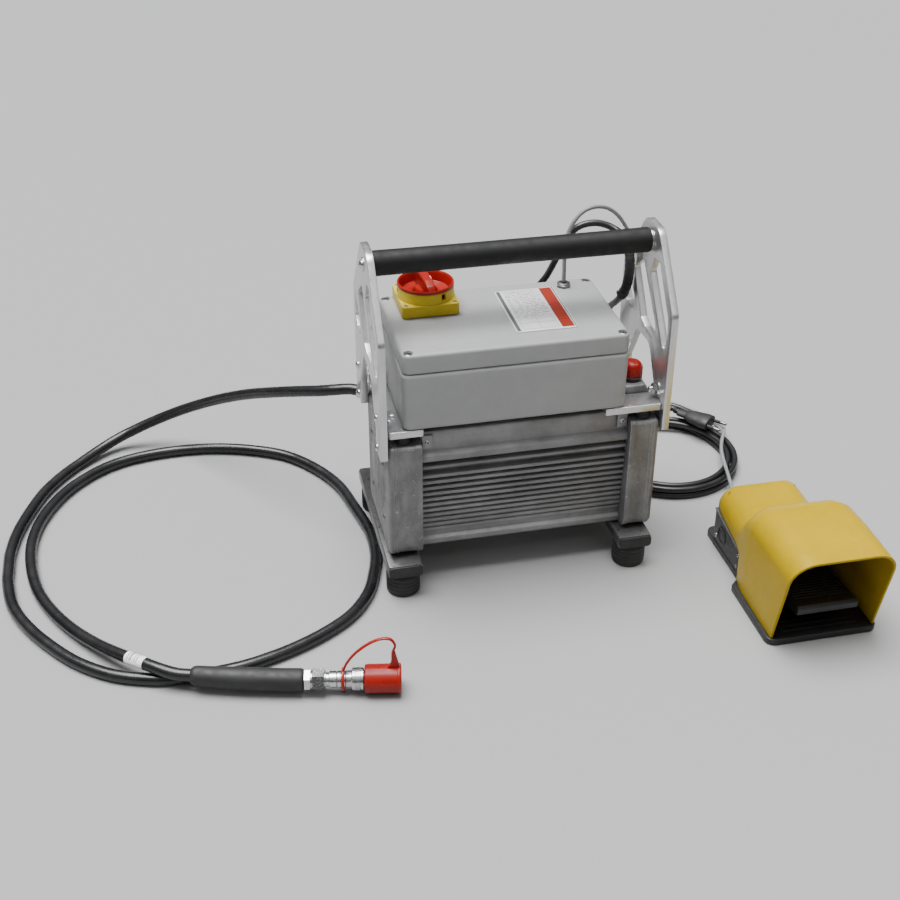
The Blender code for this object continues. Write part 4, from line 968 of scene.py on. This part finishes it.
def make_enclosure():
    """Die-cast base and lid, hollow shells with drafted sides and rounded rims, and the seal between."""
    wall, base_top, lid_bottom = 4.0, BOX_JOIN - 0.5, BOX_JOIN + 0.5
    bm = bmesh.new()
    stations = [
        (4.6, BOX_BOTTOM), (2.6, BOX_BOTTOM + 0.5), (1.5, BOX_BOTTOM + 1.4), (0.9, BOX_BOTTOM + 2.8),
        (0.75, BOX_BOTTOM + 5), (0.1, base_top - 7), (0.0, base_top - 4.2), (0.15, base_top - 3.0),
        (0.9, base_top - 1.5), (1.9, base_top - 0.5), (2.8, base_top), (wall, base_top),
        (wall + 0.8, BOX_BOTTOM + wall),
    ]
    add_rows(bm, [box_ring(inset, height) for inset, height in stations])
    make_piece("enclosure_shell", bm, "paint", ["enclosure_base"], angle=60)

    bm = bmesh.new()
    stations = [
        (wall, BOX_TOP - wall), (wall, lid_bottom), (2.1, lid_bottom), (1.4, lid_bottom + 0.2),
        (1.05, lid_bottom + 0.8), (1.0, lid_bottom + 2), (0.9, BOX_TOP - 4.2), (1.0, BOX_TOP - 3.0),
        (1.35, BOX_TOP - 1.9), (2.1, BOX_TOP - 1.0), (3.2, BOX_TOP - 0.3), (4.6, BOX_TOP),
    ]
    add_rows(bm, [box_ring(inset, height) for inset, height in stations])
    lid = make_piece("enclosure_cover", bm, "paint", ["enclosure_lid"], angle=60)
    pockets = bmesh.new()
    for x in LID_SCREW_X.values():
        for y in LID_SCREW_Y.values():
            add_lathe(pockets, [(0, BOX_TOP + 5), (5.4, BOX_TOP + 5), (5.4, BOX_TOP - 0.4),
                                (5.0, BOX_TOP - 2.6), (0, BOX_TOP - 2.6)], (x, y, 0), sides=32)
    cut_away(lid, pockets)

    bm = bmesh.new()
    rings = [(3.2, -0.42), (3.0, -0.2), (3.0, 0.2), (3.2, 0.42), (wall, 0.42), (wall, -0.42)]
    add_rows(bm, [box_ring(inset, BOX_JOIN + rise) for inset, rise in rings], closed=True)
    make_piece("lid_seal", bm, "rubber", ["enclosure_gasket"])


def make_lid_screws():
    """Raised countersunk screws with a cross recess, sunk in the lid's pockets; the recess is a black cross
    of painted shade.
    """
    top = BOX_TOP - 0.7
    for side, x in LID_SCREW_X.items():
        for end, y in LID_SCREW_Y.items():
            bm = bmesh.new()
            profile = [(0, top), (2.4, top - 0.1), (3.6, top - 0.5), (4.3, top - 1.1), (4.3, top - 1.8),
                       (0, top - 1.8)]
            add_lathe(bm, profile, (x, y, 0), sides=32)
            turn = turned((x, y), 20 + x + y)
            # Painted shade: two black bars across the head stand in for the shade inside a cross recess.
            for quarter in range(2):
                matrix = turn @ Matrix.Rotation(math.pi / 2 * quarter, 4, "Z")
                add_box(bm, (-2.5, -0.55, top - 0.6), (2.5, 0.55, top + 0.06), 0.15, 1, 1, matrix)
            make_piece(f"cover_screw_{end}_{side}", bm, ["dark_steel", "black"], [f"lid_screw_{end}_{side}"])


def make_nameplate():
    """A printed plate: a dark stripe, a red band, and rows of generic marks that spell nothing."""
    x0, x1, y0, y1 = -6.5, 62.0, -47.0, 56.0
    top = BOX_TOP + 0.95
    bm = bmesh.new()
    add_plate(bm, rectangle((x0, y0), (x1, y1), 2), BOX_TOP + 0.15, top, edge=0.2, steps=1)

    def block(left, right, low, high, finish):
        add_box(bm, (left, low, top - 0.1), (right, high, top + 0.12), finish=finish)

    block(x0 + 1.5, x0 + 5.5, y0 + 2, y1 - 2, 1)
    block(x1 - 17, x1 - 3.5, y0 + 3, y1 - 1.5, 2)
    block(x1 - 2.4, x1 - 1.2, y0 + 1, y1 - 1, 1)
    marks = random.Random(7)
    left, right = x0 + 9, x1 - 20
    for row in range(17):
        y = y1 - 7 - row * 3.9
        x = left
        while x < right - 3:
            width = marks.uniform(2.0, 7.5)
            block(x, min(x + width, right), y, y + marks.choice((1.0, 1.4, 1.8)), 3)
            x += width + marks.uniform(1.0, 3.2)
    for y in (y1 - 4.2, y0 + 30, y0 + 19, y0 + 5):
        block(left, right, y, y + 0.45, 3)
    for x in (left, (left + right) / 2, right - 0.45):
        block(x, x + 0.45, y0 + 5, y0 + 30, 3)
    make_piece("rating_plate", bm, ["foil", "foil_dark", "foil_red", "foil_grey"], ["nameplate"])


def make_glands():
    x, y = LID_GLAND
    bm = bmesh.new()
    matrix = line_matrix((x, y, 0), (0, 0, 1))
    add_hex(bm, 300.3, 303.6, 8.4, matrix, start=12)
    ring = [(3.0, 304.2), (3.4, 305.0), (5.6, 305.2), (6.8, 304.6), (7.1, 303.6), (7.1, 302), (3.0, 302)]
    add_lathe(bm, ring, matrix, closed=True)
    add_disc(bm, 3.2, 302, 304.0, matrix, finish=1)
    make_piece("steel_cable_gland", bm, ["dark_steel", "rubber"], ["lid_gland"])

    x, z = MAINS_GLAND
    bm = bmesh.new()
    matrix = line_matrix((x, BOX_HALF_Y, z), (0, 1, 0))
    add_disc(bm, 11, 0.3, 1.6, matrix)
    add_hex(bm, 1.6, 8.4, 11, matrix)
    add_lathe(bm, [(0, 8.4), (9.6, 8.4), (9.6, 9.4), (8.6, 10), (0, 10)], matrix)
    add_hex(bm, 10, 17, 10.6, matrix, start=15)
    dome = [(0, 17), (9, 17), (8.6, 19.5), (7.2, 22), (5.6, 23.7), (4.6, 23.9), (0, 23.9)]
    add_lathe(bm, dome, matrix)
    return make_piece("mains_cable_gland", bm, "black", ["mains_gland"])


def make_mains_relief():
    """The tapered sleeve on the mains cable just outside its gland, ringed so that it bends."""
    line = mains_points()[:8]
    reach = smooth_line(line, 0.9)
    widths = []
    for i in range(len(reach)):
        share = i / (len(reach) - 1)
        widths.append((6.6 - 1.9 * share) * (0.94 if i % 5 in (3, 4) and 3 < i < len(reach) - 4 else 1))
    bm = bmesh.new()
    add_sweep(bm, reach, circle(1, 28), widths)
    return make_piece("mains_strain_relief", bm, "rubber")


# --------------------------------------------------------------- main switch
def make_switch():
    x, y = SWITCH
    half = 32.0
    bm = bmesh.new()
    add_plate(bm, rectangle((x - half, y - half), (x + half, y + half), 4.5), BOX_TOP + 0.3, PLATE_TOP,
              edge=1.2, steps=3)
    head = [(0, PLATE_TOP + 0.5), (1.9, PLATE_TOP + 0.5), (2.4, PLATE_TOP + 0.1), (2.4, PLATE_TOP - 1),
            (0, PLATE_TOP - 1)]
    for dx in (-1, 1):
        for dy in (-1, 1):
            add_lathe(bm, head, (x + dx * 27.3, y + dy * 27.3, 0), finish=1, sides=24)
    make_piece("switch_escutcheon", bm, ["switch_yellow", "dark_steel"], ["switch_plate"])

    bm = bmesh.new()
    low, high, rim = PLATE_TOP + 0.3, KNOB_BASE - 0.3, KNOB_RADIUS
    profile = [(0, low + 1.5), (29.4, low + 1.5), (29.4, high), (rim - 0.8, high), (rim, high - 0.7),
               (rim, low + 2.4), (rim + 0.4, low + 1.6), (rim + 0.4, low), (0, low)]
    add_lathe(bm, profile, (x, y, 0), sides=72)
    collar = make_piece("padlock_collar", bm, "switch_yellow", ["switch_collar"])
    slots = bmesh.new()
    for turn in (-62, 58, 178):
        add_box(slots, (24, -2.7, low + 2.8), (36, 2.7, high - 1.4), matrix=turned(SWITCH, turn))
    cut_away(collar, slots)

    bm = bmesh.new()
    floor = low + 3.2
    dish = [
        (0, floor), (24.6, floor), (26.4, floor + 0.9), (28.2, KNOB_BASE + 0.4), (29.4, KNOB_RIM - 0.5),
        (30.0, KNOB_RIM), (rim - 0.7, KNOB_RIM), (rim, KNOB_RIM - 0.8), (rim, KNOB_BASE + 0.4),
        (rim - 0.4, KNOB_BASE), (28.6, KNOB_BASE), (26.6, floor - 0.8), (0, floor - 1),
    ]
    add_lathe(bm, dish, (x, y, 0), sides=72)
    bar = rounded([(-28.4, floor), (-28.6, 329), (-24, 333, 5), (-14, KNOB_TOP, 9), (17, KNOB_TOP, 9),
                   (25, 332.5, 5), (28.6, 329), (28.4, floor)], 0, 6)
    turn = turned(SWITCH, 4)
    add_plate(bm, bar, -5.2, 5.2, "YZ", edge=2.2, steps=4, turn=turn)
    hub = [(0, floor + 5), (10.5, floor + 5), (11.5, floor + 4), (12, floor), (0, floor)]
    add_lathe(bm, hub, (x, y, 0), sides=48)
    # Painted highlight: a white patch on top of the bar stands in for a glint of light on the handle.
    painted_glint = rounded([(1.2, -10.5), (4.3, -10.5), (4.3, -2.0), (1.2, -2.0)], 1.5, 5)
    add_plate(bm, painted_glint, KNOB_TOP - 0.9, KNOB_TOP - 0.12, edge=0.1, steps=1, turn=turn, finish=1)
    make_piece("switch_handle", bm, ["red", "white"], ["switch_knob"], "main_switch")


# -------------------------------------------------------------------- filler
def make_filler():
    x, y = FILLER
    bm = bmesh.new()
    section = rounded([(120.1, 190.3, 2), (152, 190.3, 2), (152, 205, 8), (146.5, NECK_TOP, 5),
                       (120.1, NECK_TOP, 5)])
    add_plate(bm, section, y - 18, y + 18, "XZ", edge=2.5, steps=4)
    neck = make_piece("filler_neck_casting", bm, "cast", ["filler_neck"])
    bore = bmesh.new()
    add_disc(bore, 8.5, NECK_TOP - 15, NECK_TOP + 9, (x, y, 0))
    cut_away(neck, bore)
    bm = bmesh.new()
    base = NECK_TOP + 0.3
    band = [(0, base + 5), (11.2, base + 5), (12, base + 4.4), (12, base + 0.6), (11.4, base), (7.9, base),
            (7.9, base - 11), (0, base - 11)]
    add_lathe(bm, band, (x, y, 0), finish=1, sides=48)
    dome = [(0, CAP_TOP), (4.5, CAP_TOP - 0.3), (8.2, CAP_TOP - 1.8), (10.4, CAP_TOP - 4.4),
            (11.3, CAP_TOP - 7.5), (11.5, base + 5.4), (10.8, base + 5), (0, base + 5)]
    add_lathe(bm, dome, (x, y, 0), sides=48)
    for rx, ry in circle(11.2, 18, (x, y)):
        away = Vector((rx - x, ry - y, 0)).normalized()
        matrix = line_matrix((rx, ry, 0), (0, 0, 1)) @ Matrix.Rotation(math.atan2(away.y, away.x), 4, "Z")
        add_box(bm, (-0.8, -0.9, base + 5.2), (0.5, 0.9, CAP_TOP - 7), 0.35, 1, matrix=matrix)
    make_piece("breather_cap", bm, ["red", "black"], ["filler_cap"], "filler_breather_cap")


# ----------------------------------------------------- outlet, hose, coupler
def make_outlet():
    bm = bmesh.new()
    outline = rounded([(-117, 62.3), (-117, 108), (-132, 108), (-150, 73), (-150, 62.3)], 2, 4)
    add_plate(bm, outline, 115, 185, edge=1.2, steps=3)
    for z in (126, 176):
        add_screw(bm, (-124.5, 107.8, z), (0, 1, 0), 4.0, 2.8, finish=1, socket=2)
    make_piece("pressure_manifold", bm, ["cast", "steel", "dark_steel"], ["manifold_block"])
    bm = bmesh.new()
    matrix = line_matrix(OUTLET_START, OUTLET_DIRECTION)
    add_hex(bm, 0.3, 9, 11, matrix)
    add_lathe(bm, rounded([(0, 20), (8.2, 20), (9, 19), (9, 9), (0, 9)], 0.4, 2, False), matrix)
    for i in range(3):
        low = 10.6 + 2.8 * i
        add_lathe(bm, [(9.0, low + 1.4), (9.2, low + 0.9), (9.2, low + 0.5), (9.0, low)], matrix)
    return make_piece("hose_end_fitting", bm, "steel", ["outlet_fitting"])


def make_hose_sleeves():
    """The black grip sleeve before the coupler, and the white marker sleeve with a generic print."""
    bm = bmesh.new()
    back = COUPLER_START - COUPLER_DIRECTION * (GAP + 0.4)
    line = smooth_line([*SLEEVE_ROUTE, back], 1.6)
    last = len(line) - 1
    widths = []
    for i in range(last + 1):
        share = i / last
        width = 10.4 + 1.7 * min(1, share * 2.2)
        width -= 2.2 * max(0, 1 - share * last / 4) ** 2
        width -= 1.0 * max(0, 1 - (1 - share) * last / 2) ** 2
        widths.append(width)
    add_sweep(bm, line, circle(1, 40), widths)
    sleeve = make_piece("hose_grip", bm, "rubber", ["hose_grip_sleeve"], angle=60)

    line = hose_points()
    centre = min(range(len(line)), key=lambda i: (line[i] - Vector((-447, -158, 20))).length)
    label = smooth_line(line[centre - 1:centre + 3], 1.5)
    bm = bmesh.new()
    add_sweep(bm, label, circle(HOSE_RADIUS + 0.35, 32))
    for i in (3, 5, 6, 9, 11):
        ring = frames_along(label)[i]
        add_plate(bm, arc((0, 0), HOSE_RADIUS + 0.5, 40, 150, 12) + arc((0, 0), HOSE_RADIUS, 150, 40, 12),
                  -0.4, 0.4, turn=ring, finish=1)
    marker = make_piece("hose_marker_sleeve", bm, ["white", "foil_dark"], angle=60)
    return [sleeve, marker]


def make_coupler():
    """Hose nut, nipple, knurled coupler body and collar, the dust cap and its strap."""
    matrix = line_matrix(COUPLER_START, COUPLER_DIRECTION)
    bm = bmesh.new()
    add_hex(bm, 0.2, 7.2, 11.4, matrix, start=20)
    add_disc(bm, 9.6, 7, 8.4, matrix)
    add_hex(bm, 8.4, NUT_END, 12.2, matrix, start=5, chamfer=1.3)
    nipple = [(0, NIPPLE_END), (8.2, NIPPLE_END), (8.8, NIPPLE_END - 0.7), (8.8, NUT_END + 5),
              (7.4, NUT_END + 4.2), (7.4, NUT_END + 1.6), (8.6, NUT_END + 1), (8.6, NUT_END - 0.5),
              (0, NUT_END - 0.5)]
    add_lathe(bm, nipple, matrix)
    nut = make_piece("hose_nut_and_nipple", bm, "steel", ["hose_nut"])

    bm = bmesh.new()
    start = NIPPLE_END + GAP
    body = [
        (0, COLLAR_END + 14), (5.6, COLLAR_END + 14), (6.5, COLLAR_END + 13), (6.5, COLLAR_END + 2),
        (8.6, COLLAR_END + 0.6), (9, COLLAR_END), (9, start + 9.2), (8.6, start + 8.6), (8.6, start + 7.6),
        (9, start + 7), (9, start + 0.5), (8.5, start), (0, start),
    ]
    add_lathe(bm, body, matrix)
    add_ribs(bm, 30, (8.7, -0.45, start + 9.6), (9.1, 0.45, COLLAR_START - 0.4), matrix)
    body = make_piece("coupler_half", bm, "steel", ["coupler_body"])

    bm = bmesh.new()
    collar = [(11.3, COLLAR_END - 0.5), (12, COLLAR_END - 1.3), (12, COLLAR_END - 3.4),
              (11.6, COLLAR_END - 3.8), (11.6, COLLAR_START + 3.8), (12, COLLAR_START + 3.4),
              (12, COLLAR_START + 0.8), (11.3, COLLAR_START), (9.2, COLLAR_START), (9.2, COLLAR_END - 0.5)]
    add_lathe(bm, collar, matrix, closed=True, sides=64)
    add_ribs(bm, 44, (11.4, -0.42, COLLAR_START + 4), (12.0, 0.42, COLLAR_END - 4), matrix)
    collar = make_piece("coupler_slide_collar", bm, "steel", ["coupler_collar"], "coupler_sleeve")

    bm = bmesh.new()
    near = COLLAR_END + GAP
    cap = [
        (0, CAP_END), (13.8, CAP_END), (15.2, CAP_END - 0.5), (15.9, CAP_END - 1.6), (15.9, CAP_END - 3.4),
        (15.4, CAP_END - 4.2), (15.2, near + 2.4), (15.0, near + 0.8), (14.4, near), (9.3, near),
        (9.3, CAP_END - 5), (0, CAP_END - 5),
    ]
    add_lathe(bm, rounded(cap, 0.4, 2, False), matrix, sides=64)
    ear = rounded([(13.5, CAP_END - 16), (21, CAP_END - 10.5, 5), (EAR_TOP, CAP_END - 9.8, 2),
                   (EAR_TOP, CAP_END - 6.2, 2), (23, CAP_END - 3.2, 5), (13.5, CAP_END - 0.8)], 0, 5)
    add_plate(bm, ear, -2.2, 2.2, "YZ", edge=0.8, steps=3, turn=matrix)
    cap = make_piece("rubber_dust_cap", bm, "red", ["dust_cap"], "coupler_dust_cap")

    bm = bmesh.new()
    route = [
        (0, EAR_TOP + CORD_GAP, CAP_END - 8), (0, 44, CAP_END - 6), (0, 52, CAP_END - 11),
        (0, 52, CAP_END - 22), (0, 45, CAP_END - 35), (0, 33, CAP_END - 48), (0, 21, CAP_END - 56),
        (0, 10.8, COLLAR_START - 8.9),
    ]
    section = [(u * 2.1, v * 1.3) for u, v in circle(1, 14)]
    add_sweep(bm, [matrix @ p for p in smooth_line(route, 1.6)], section)
    ring = [(11.8, 42.0), (12.2, 41.5), (12.2, 39.5), (11.8, 39.0), (9.3, 39.0), (9.3, 42.0)]
    add_lathe(bm, ring, matrix, closed=True)
    tab = rounded([(-3.2, -11), (3.2, -11), (2.4, -16.2, 2), (-2.4, -16.2, 2)], 0, 4)
    add_plate(bm, tab, 39.2, 41.8, edge=0.5, turn=matrix)
    strap = make_piece("dust_cap_strap", bm, "red", ["dust_cap_tether"], angle=50)
    return [nut, body, collar, cap, strap]


def make_plug():
    """A moulded mains plug with two round pins, lying on the coil."""
    middle, forward = plug_line()
    matrix = line_matrix(middle, forward)
    flat = matrix @ Matrix.Diagonal((1, PLUG_FLATTENING, 1, 1))
    half, wide = PLUG_LENGTH / 2, PLUG_RADIUS
    bm = bmesh.new()
    body = [(0, half), (wide - 2.2, half), (wide - 0.6, half - 0.8), (wide, half - 2.4), (wide, half - 12),
            (wide - 0.7, half - 14), (wide - 1.6, half - 20), (12.2, 7 - half), (9.6, 2 - half), (8.4, -half)]
    for i in range(4):
        low = -half - 2.9 * i
        body += [(8.2 - 0.12 * i, low - 1.7), (7.5, low - 1.9), (7.5, low - 2.6), (8.1 - 0.12 * i, low - 2.8)]
    body += [(7.6, -half - PLUG_TAIL), (0, -half - PLUG_TAIL)]
    add_lathe(bm, body, flat, sides=48)
    for side in (-1, 1):
        pin = matrix @ Matrix.Translation((9.5 * side, 0, 0))
        add_disc(bm, 2.2, half - 1, half + 10, pin, sides=24)
        tip = [(0, half + 19), (1.3, half + 19), (2.0, half + 17.8), (2.0, half + 9.5), (0, half + 9.5)]
        add_lathe(bm, tip, pin, sides=24, finish=1)
    return make_piece("moulded_plug", bm, ["rubber", "dark_steel"], ["mains_plug"])


def make_cable_wrap():
    """The spiral wrap round the mains cable where it comes down inside the right bracket, and its tie."""
    line = mains_points()
    first = min(range(len(line)), key=lambda i: (line[i] - Vector((147.5, 58, 347))).length)
    last = min(range(len(line)), key=lambda i: (line[i] - Vector((145.5, 54, 283))).length)
    reach = smooth_line(line[first:last + 1], 1.2)
    widths = [5.7 - (0.5 if i % 6 == 5 else 0) for i in range(len(reach))]
    bm = bmesh.new()
    add_sweep(bm, reach, circle(1, 28), widths)
    tie = frames_along(reach)[-8]
    add_lathe(bm, [(6.3, 1.8), (6.3, -1.8), (4.5, -1.8), (4.5, 1.8)], tie, closed=True)
    add_box(bm, (-8.4, -1.6, -2.2), (-5.4, 1.6, 2.2), 0.5, 2, matrix=tie)
    return make_piece("cable_wrap", bm, "rubber", angle=50)


# --------------------------------------------------------------- foot switch
def make_pedal_base():
    bm = bmesh.new()
    side = [(PEDAL_HALF, PEDAL_REAR, 9), (PEDAL_HALF, -143, 5), (PEDAL_FRONT_HALF, -156, 5),
            (PEDAL_FRONT_HALF, PEDAL_FRONT, 11)]
    outline = [(PEDAL_X + x, y) for x, y in rounded(mirrored(side), steps=8)]
    add_plate(bm, outline, 0, PEDAL_BASE_TOP, edge=1.4, steps=3)
    for sign in (-1, 1):
        x = PEDAL_X + sign * 43
        ear = rounded([(PIN_Y - 8, 6), (PIN_Y + 8, 6), (PIN_Y + 6, 35, 5), (PIN_Y - 6, 35, 5)], 0, 6)
        add_plate(bm, ear, x - 3, x + 3, "YZ", [circle(2.8, 24, (PIN_Y, PIN_Z))], edge=0.4)
    for i in range(11):
        y = PEDAL_FRONT + 12 + i * 8
        add_box(bm, (PEDAL_X - 44, y, PEDAL_BASE_TOP - 0.5), (PEDAL_X + 44, y + 3.2, PEDAL_BASE_TOP + 1.0),
                0.5, 2)
    make_piece("foot_switch_base", bm, "black", ["pedal_base"])


def make_pedal_body():
    """The contact block's housing with its knock-outs, and the gland of the lead."""
    bm = bmesh.new()
    low, (front, rear) = PEDAL_BASE_TOP + 0.3, PEDAL_BODY_Y
    outline = rounded([(front, low), (rear, low), (rear, 52), (front, 38)], 2.5, 5)
    add_plate(bm, outline, PEDAL_X - 50.5, PEDAL_X + 50.5, "YZ", edge=1.5, steps=3)
    flange = [(-147.3, low + 0.3), (-147.3, 37.4), (-64, 51.7), (-64, 50.2), (-145.6, 36.0),
              (-145.6, low + 0.3)]
    add_plate(bm, flange, PEDAL_X - 52.6, PEDAL_X + 52.6, "YZ", edge=0.3, steps=1)
    add_box(bm, (PEDAL_X - 55.6, -144.6, low + 0.3), (PEDAL_X + 55.6, -142.8, 38.6), 0.4)
    add_box(bm, (PEDAL_X - 43, -67.2, 49), (PEDAL_X + 43, -65.6, 56), 0.4)
    for sign in (-1, 1):
        matrix = line_matrix((PEDAL_X + sign * 50.3, -86, 26), (sign, 0, 0))
        ring = [(8.6, 1.3), (10.4, 1.3), (11, 0.8), (11, 0), (8.6, 0)]
        add_lathe(bm, ring, matrix, closed=True)
        add_lathe(bm, [(0, 0.7), (6.6, 0.7), (7, 0.3), (7, 0), (0, 0)], matrix)
        for y, z in ((-70, 16), (-134, 16), (-134, 31)):
            add_screw(bm, (PEDAL_X + sign * 50.4, y, z), (sign, 0, 0), 2.8, 1.6, finish=1, socket=2)
    make_piece("contact_housing", bm, ["black", "steel", "dark_steel"], ["pedal_switch_body"])

    bm = bmesh.new()
    matrix = line_matrix((PEDAL_GLAND_X, PEDAL_BODY_Y[1] + 0.3, PEDAL_GLAND_Z), (0, 1, 0))
    add_hex(bm, 0, 7.5, 7.5, matrix)
    profile = [(0, 7.5), (6.4, 7.5), (6.6, 8), (6.2, 15), (5.4, 18), (3.8, 20.2), (2.7, 20.5), (0, 20.5)]
    add_lathe(bm, profile, matrix)
    make_piece("foot_lead_gland", bm, "black", ["pedal_gland"])


# Rows across the hood: y, half width, top, bottom, corner radius, and how far the foot leans forward
HOOD_SECTIONS = [
    (-61.5, 44.5, 74.5, 52.9, 19, 0), (-62.6, 47.4, 77.6, 52.7, 21, 0), (-65, 49.2, 79.4, 52.4, 22, 0),
    (-75, 50.6, 80, 50.8, 24, 0), (-100, 51, 80.5, 46.6, 27, 0), (-125, 51.4, 81.5, 42.4, 29, 0),
    (-137, 53, 89, 40.4, 28, 0), (-144.8, 55.3, 97, 39.0, 27, 0), (-147.8, 56.2, 101, 8.6, 27, 0),
    (-160, 59, 114, 8.5, 27, 1), (-174, 60.5, 122, 8.3, 28, 5), (-205, 61, 123.5, 8.3, 28, 10),
    (-230, 61, 123, 8.3, 28, 17), (-254.5, 61, 122, 8.3, 28, 25.5),
]


def hood_arch(y, half, top, bottom, corner, lean):
    """One arch across the hood, from its left foot over the top to its right foot."""
    tall = min(corner, top - bottom - 1.5)
    left = [(-half, bottom + (top - tall - bottom) * i / 4) for i in range(4)]
    left += [(corner - half + x * corner, top - tall + z * tall) for x, z in arc((0, 0), 1, 180, 90, 10)]
    left += [(-(half - corner) * (1 - i / 4), top) for i in range(1, 4)]
    arch = left + [(0, top)] + [(-x, z) for x, z in reversed(left)]
    return [Vector((PEDAL_X + x, y - lean * (z - bottom) / (top - bottom), z)) for x, z in arch]


def make_hood():
    """The moulded yellow hood: an open shell, thickened inwards, with a bead round its mouth."""
    bm = bmesh.new()
    rows = [[bm.verts.new(point) for point in hood_arch(*section)] for section in HOOD_SECTIONS]
    for near, far in zip(rows, rows[1:]):
        for i in range(len(near) - 1):
            bm.faces.new((near[i], near[i + 1], far[i + 1], far[i]))
    bm.faces.new(reversed(rows[0]))
    bmesh.ops.recalc_face_normals(bm, faces=bm.faces)
    hood = make_piece("foot_guard_hood", bm, "yellow", ["pedal_hood"], angle=50)
    shell = hood.modifiers.new("wall", "SOLIDIFY")
    shell.thickness = HOOD_WALL * MM
    shell.offset = -1
    shell.use_even_offset = True
    edge = hood.modifiers.new("edges", "BEVEL")
    edge.width = HOOD_BEAD * MM
    edge.segments = 3
    edge.limit_method = "ANGLE"
    edge.angle_limit = math.radians(50)

    bm = bmesh.new()
    for sign in (-1, 1):
        add_screw(bm, (PEDAL_X + sign * 40.2, -72, 75.2), (0.5 * sign, 0, 0.87), 2.6, 1.0)
    make_piece("hood_screws", bm, ["yellow", "dark_steel"])


def make_tread():
    """The tread that the foot presses, its top ribbed against slipping."""
    bm = bmesh.new()
    boss = arc((PIN_Y, PIN_Z), 6.5, 60, -120, 14)
    tip = [(PIN_Y - 101, PIN_Z + 8.5, 1), (PIN_Y - 104, PIN_Z + 11, 1.5), (PIN_Y - 104, PIN_Z + 18, 2),
           (PIN_Y - 100, PIN_Z + 20.5, 2)]
    outline = rounded(boss + tip, 0, 4)
    add_plate(bm, outline, PEDAL_X - 35, PEDAL_X + 35, "YZ", [circle(2.8, 24, (PIN_Y, PIN_Z))], edge=1.2,
              steps=3)
    start, end = Vector((0, boss[0][0], boss[0][1])), Vector((0, PIN_Y - 100, PIN_Z + 20.5))
    along = (end - start).normalized()
    matrix = line_matrix(start, along)
    for i in range(14):
        place = 18 + i * 5.4
        block = Matrix.Translation((PEDAL_X, 0, 0)) @ matrix
        up = (matrix.to_3x3() @ Vector((0, 1, 0))).z
        low, high = (-0.6, 1.0) if up > 0 else (-1.0, 0.6)
        add_box(bm, (-31, low, place), (31, high, place + 2.4), 0.4, 2, matrix=block)
    make_piece("ribbed_tread", bm, "black", ["pedal_tread"], "foot_tread")


# ----------------------------------------------------------- inner CAD nodes
INNER_FINISHES = {
    "motor_stator": "copper", "motor_rotor": "steel", "pump_block": "cast", "handle_rod": "steel",
    "contactor": "black", "switch_shaft": "steel", "switch_body": "black", "pedal_pin": "steel",
}


def finish_inner_nodes():
    for node, finish in INNER_FINISHES.items():
        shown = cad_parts[node]
        for place in shown.material_slots:
            place.material = FINISHES[finish]


make_camera()
FINISHES = make_finishes()
ON_HOSE = [*make_hose_sleeves(), *make_coupler(), make_outlet()]
ON_MAINS = [make_glands(), make_mains_relief(), make_cable_wrap(), make_plug()]
make_cords()
make_motor_body()
make_castings()
make_rails()
make_feet()
make_brackets()
make_handle()
make_supports()
make_enclosure()
make_lid_screws()
make_nameplate()
make_switch()
make_filler()
make_pedal_base()
make_pedal_body()
make_hood()
make_tread()
finish_inner_nodes()
make_light()
make_floor()
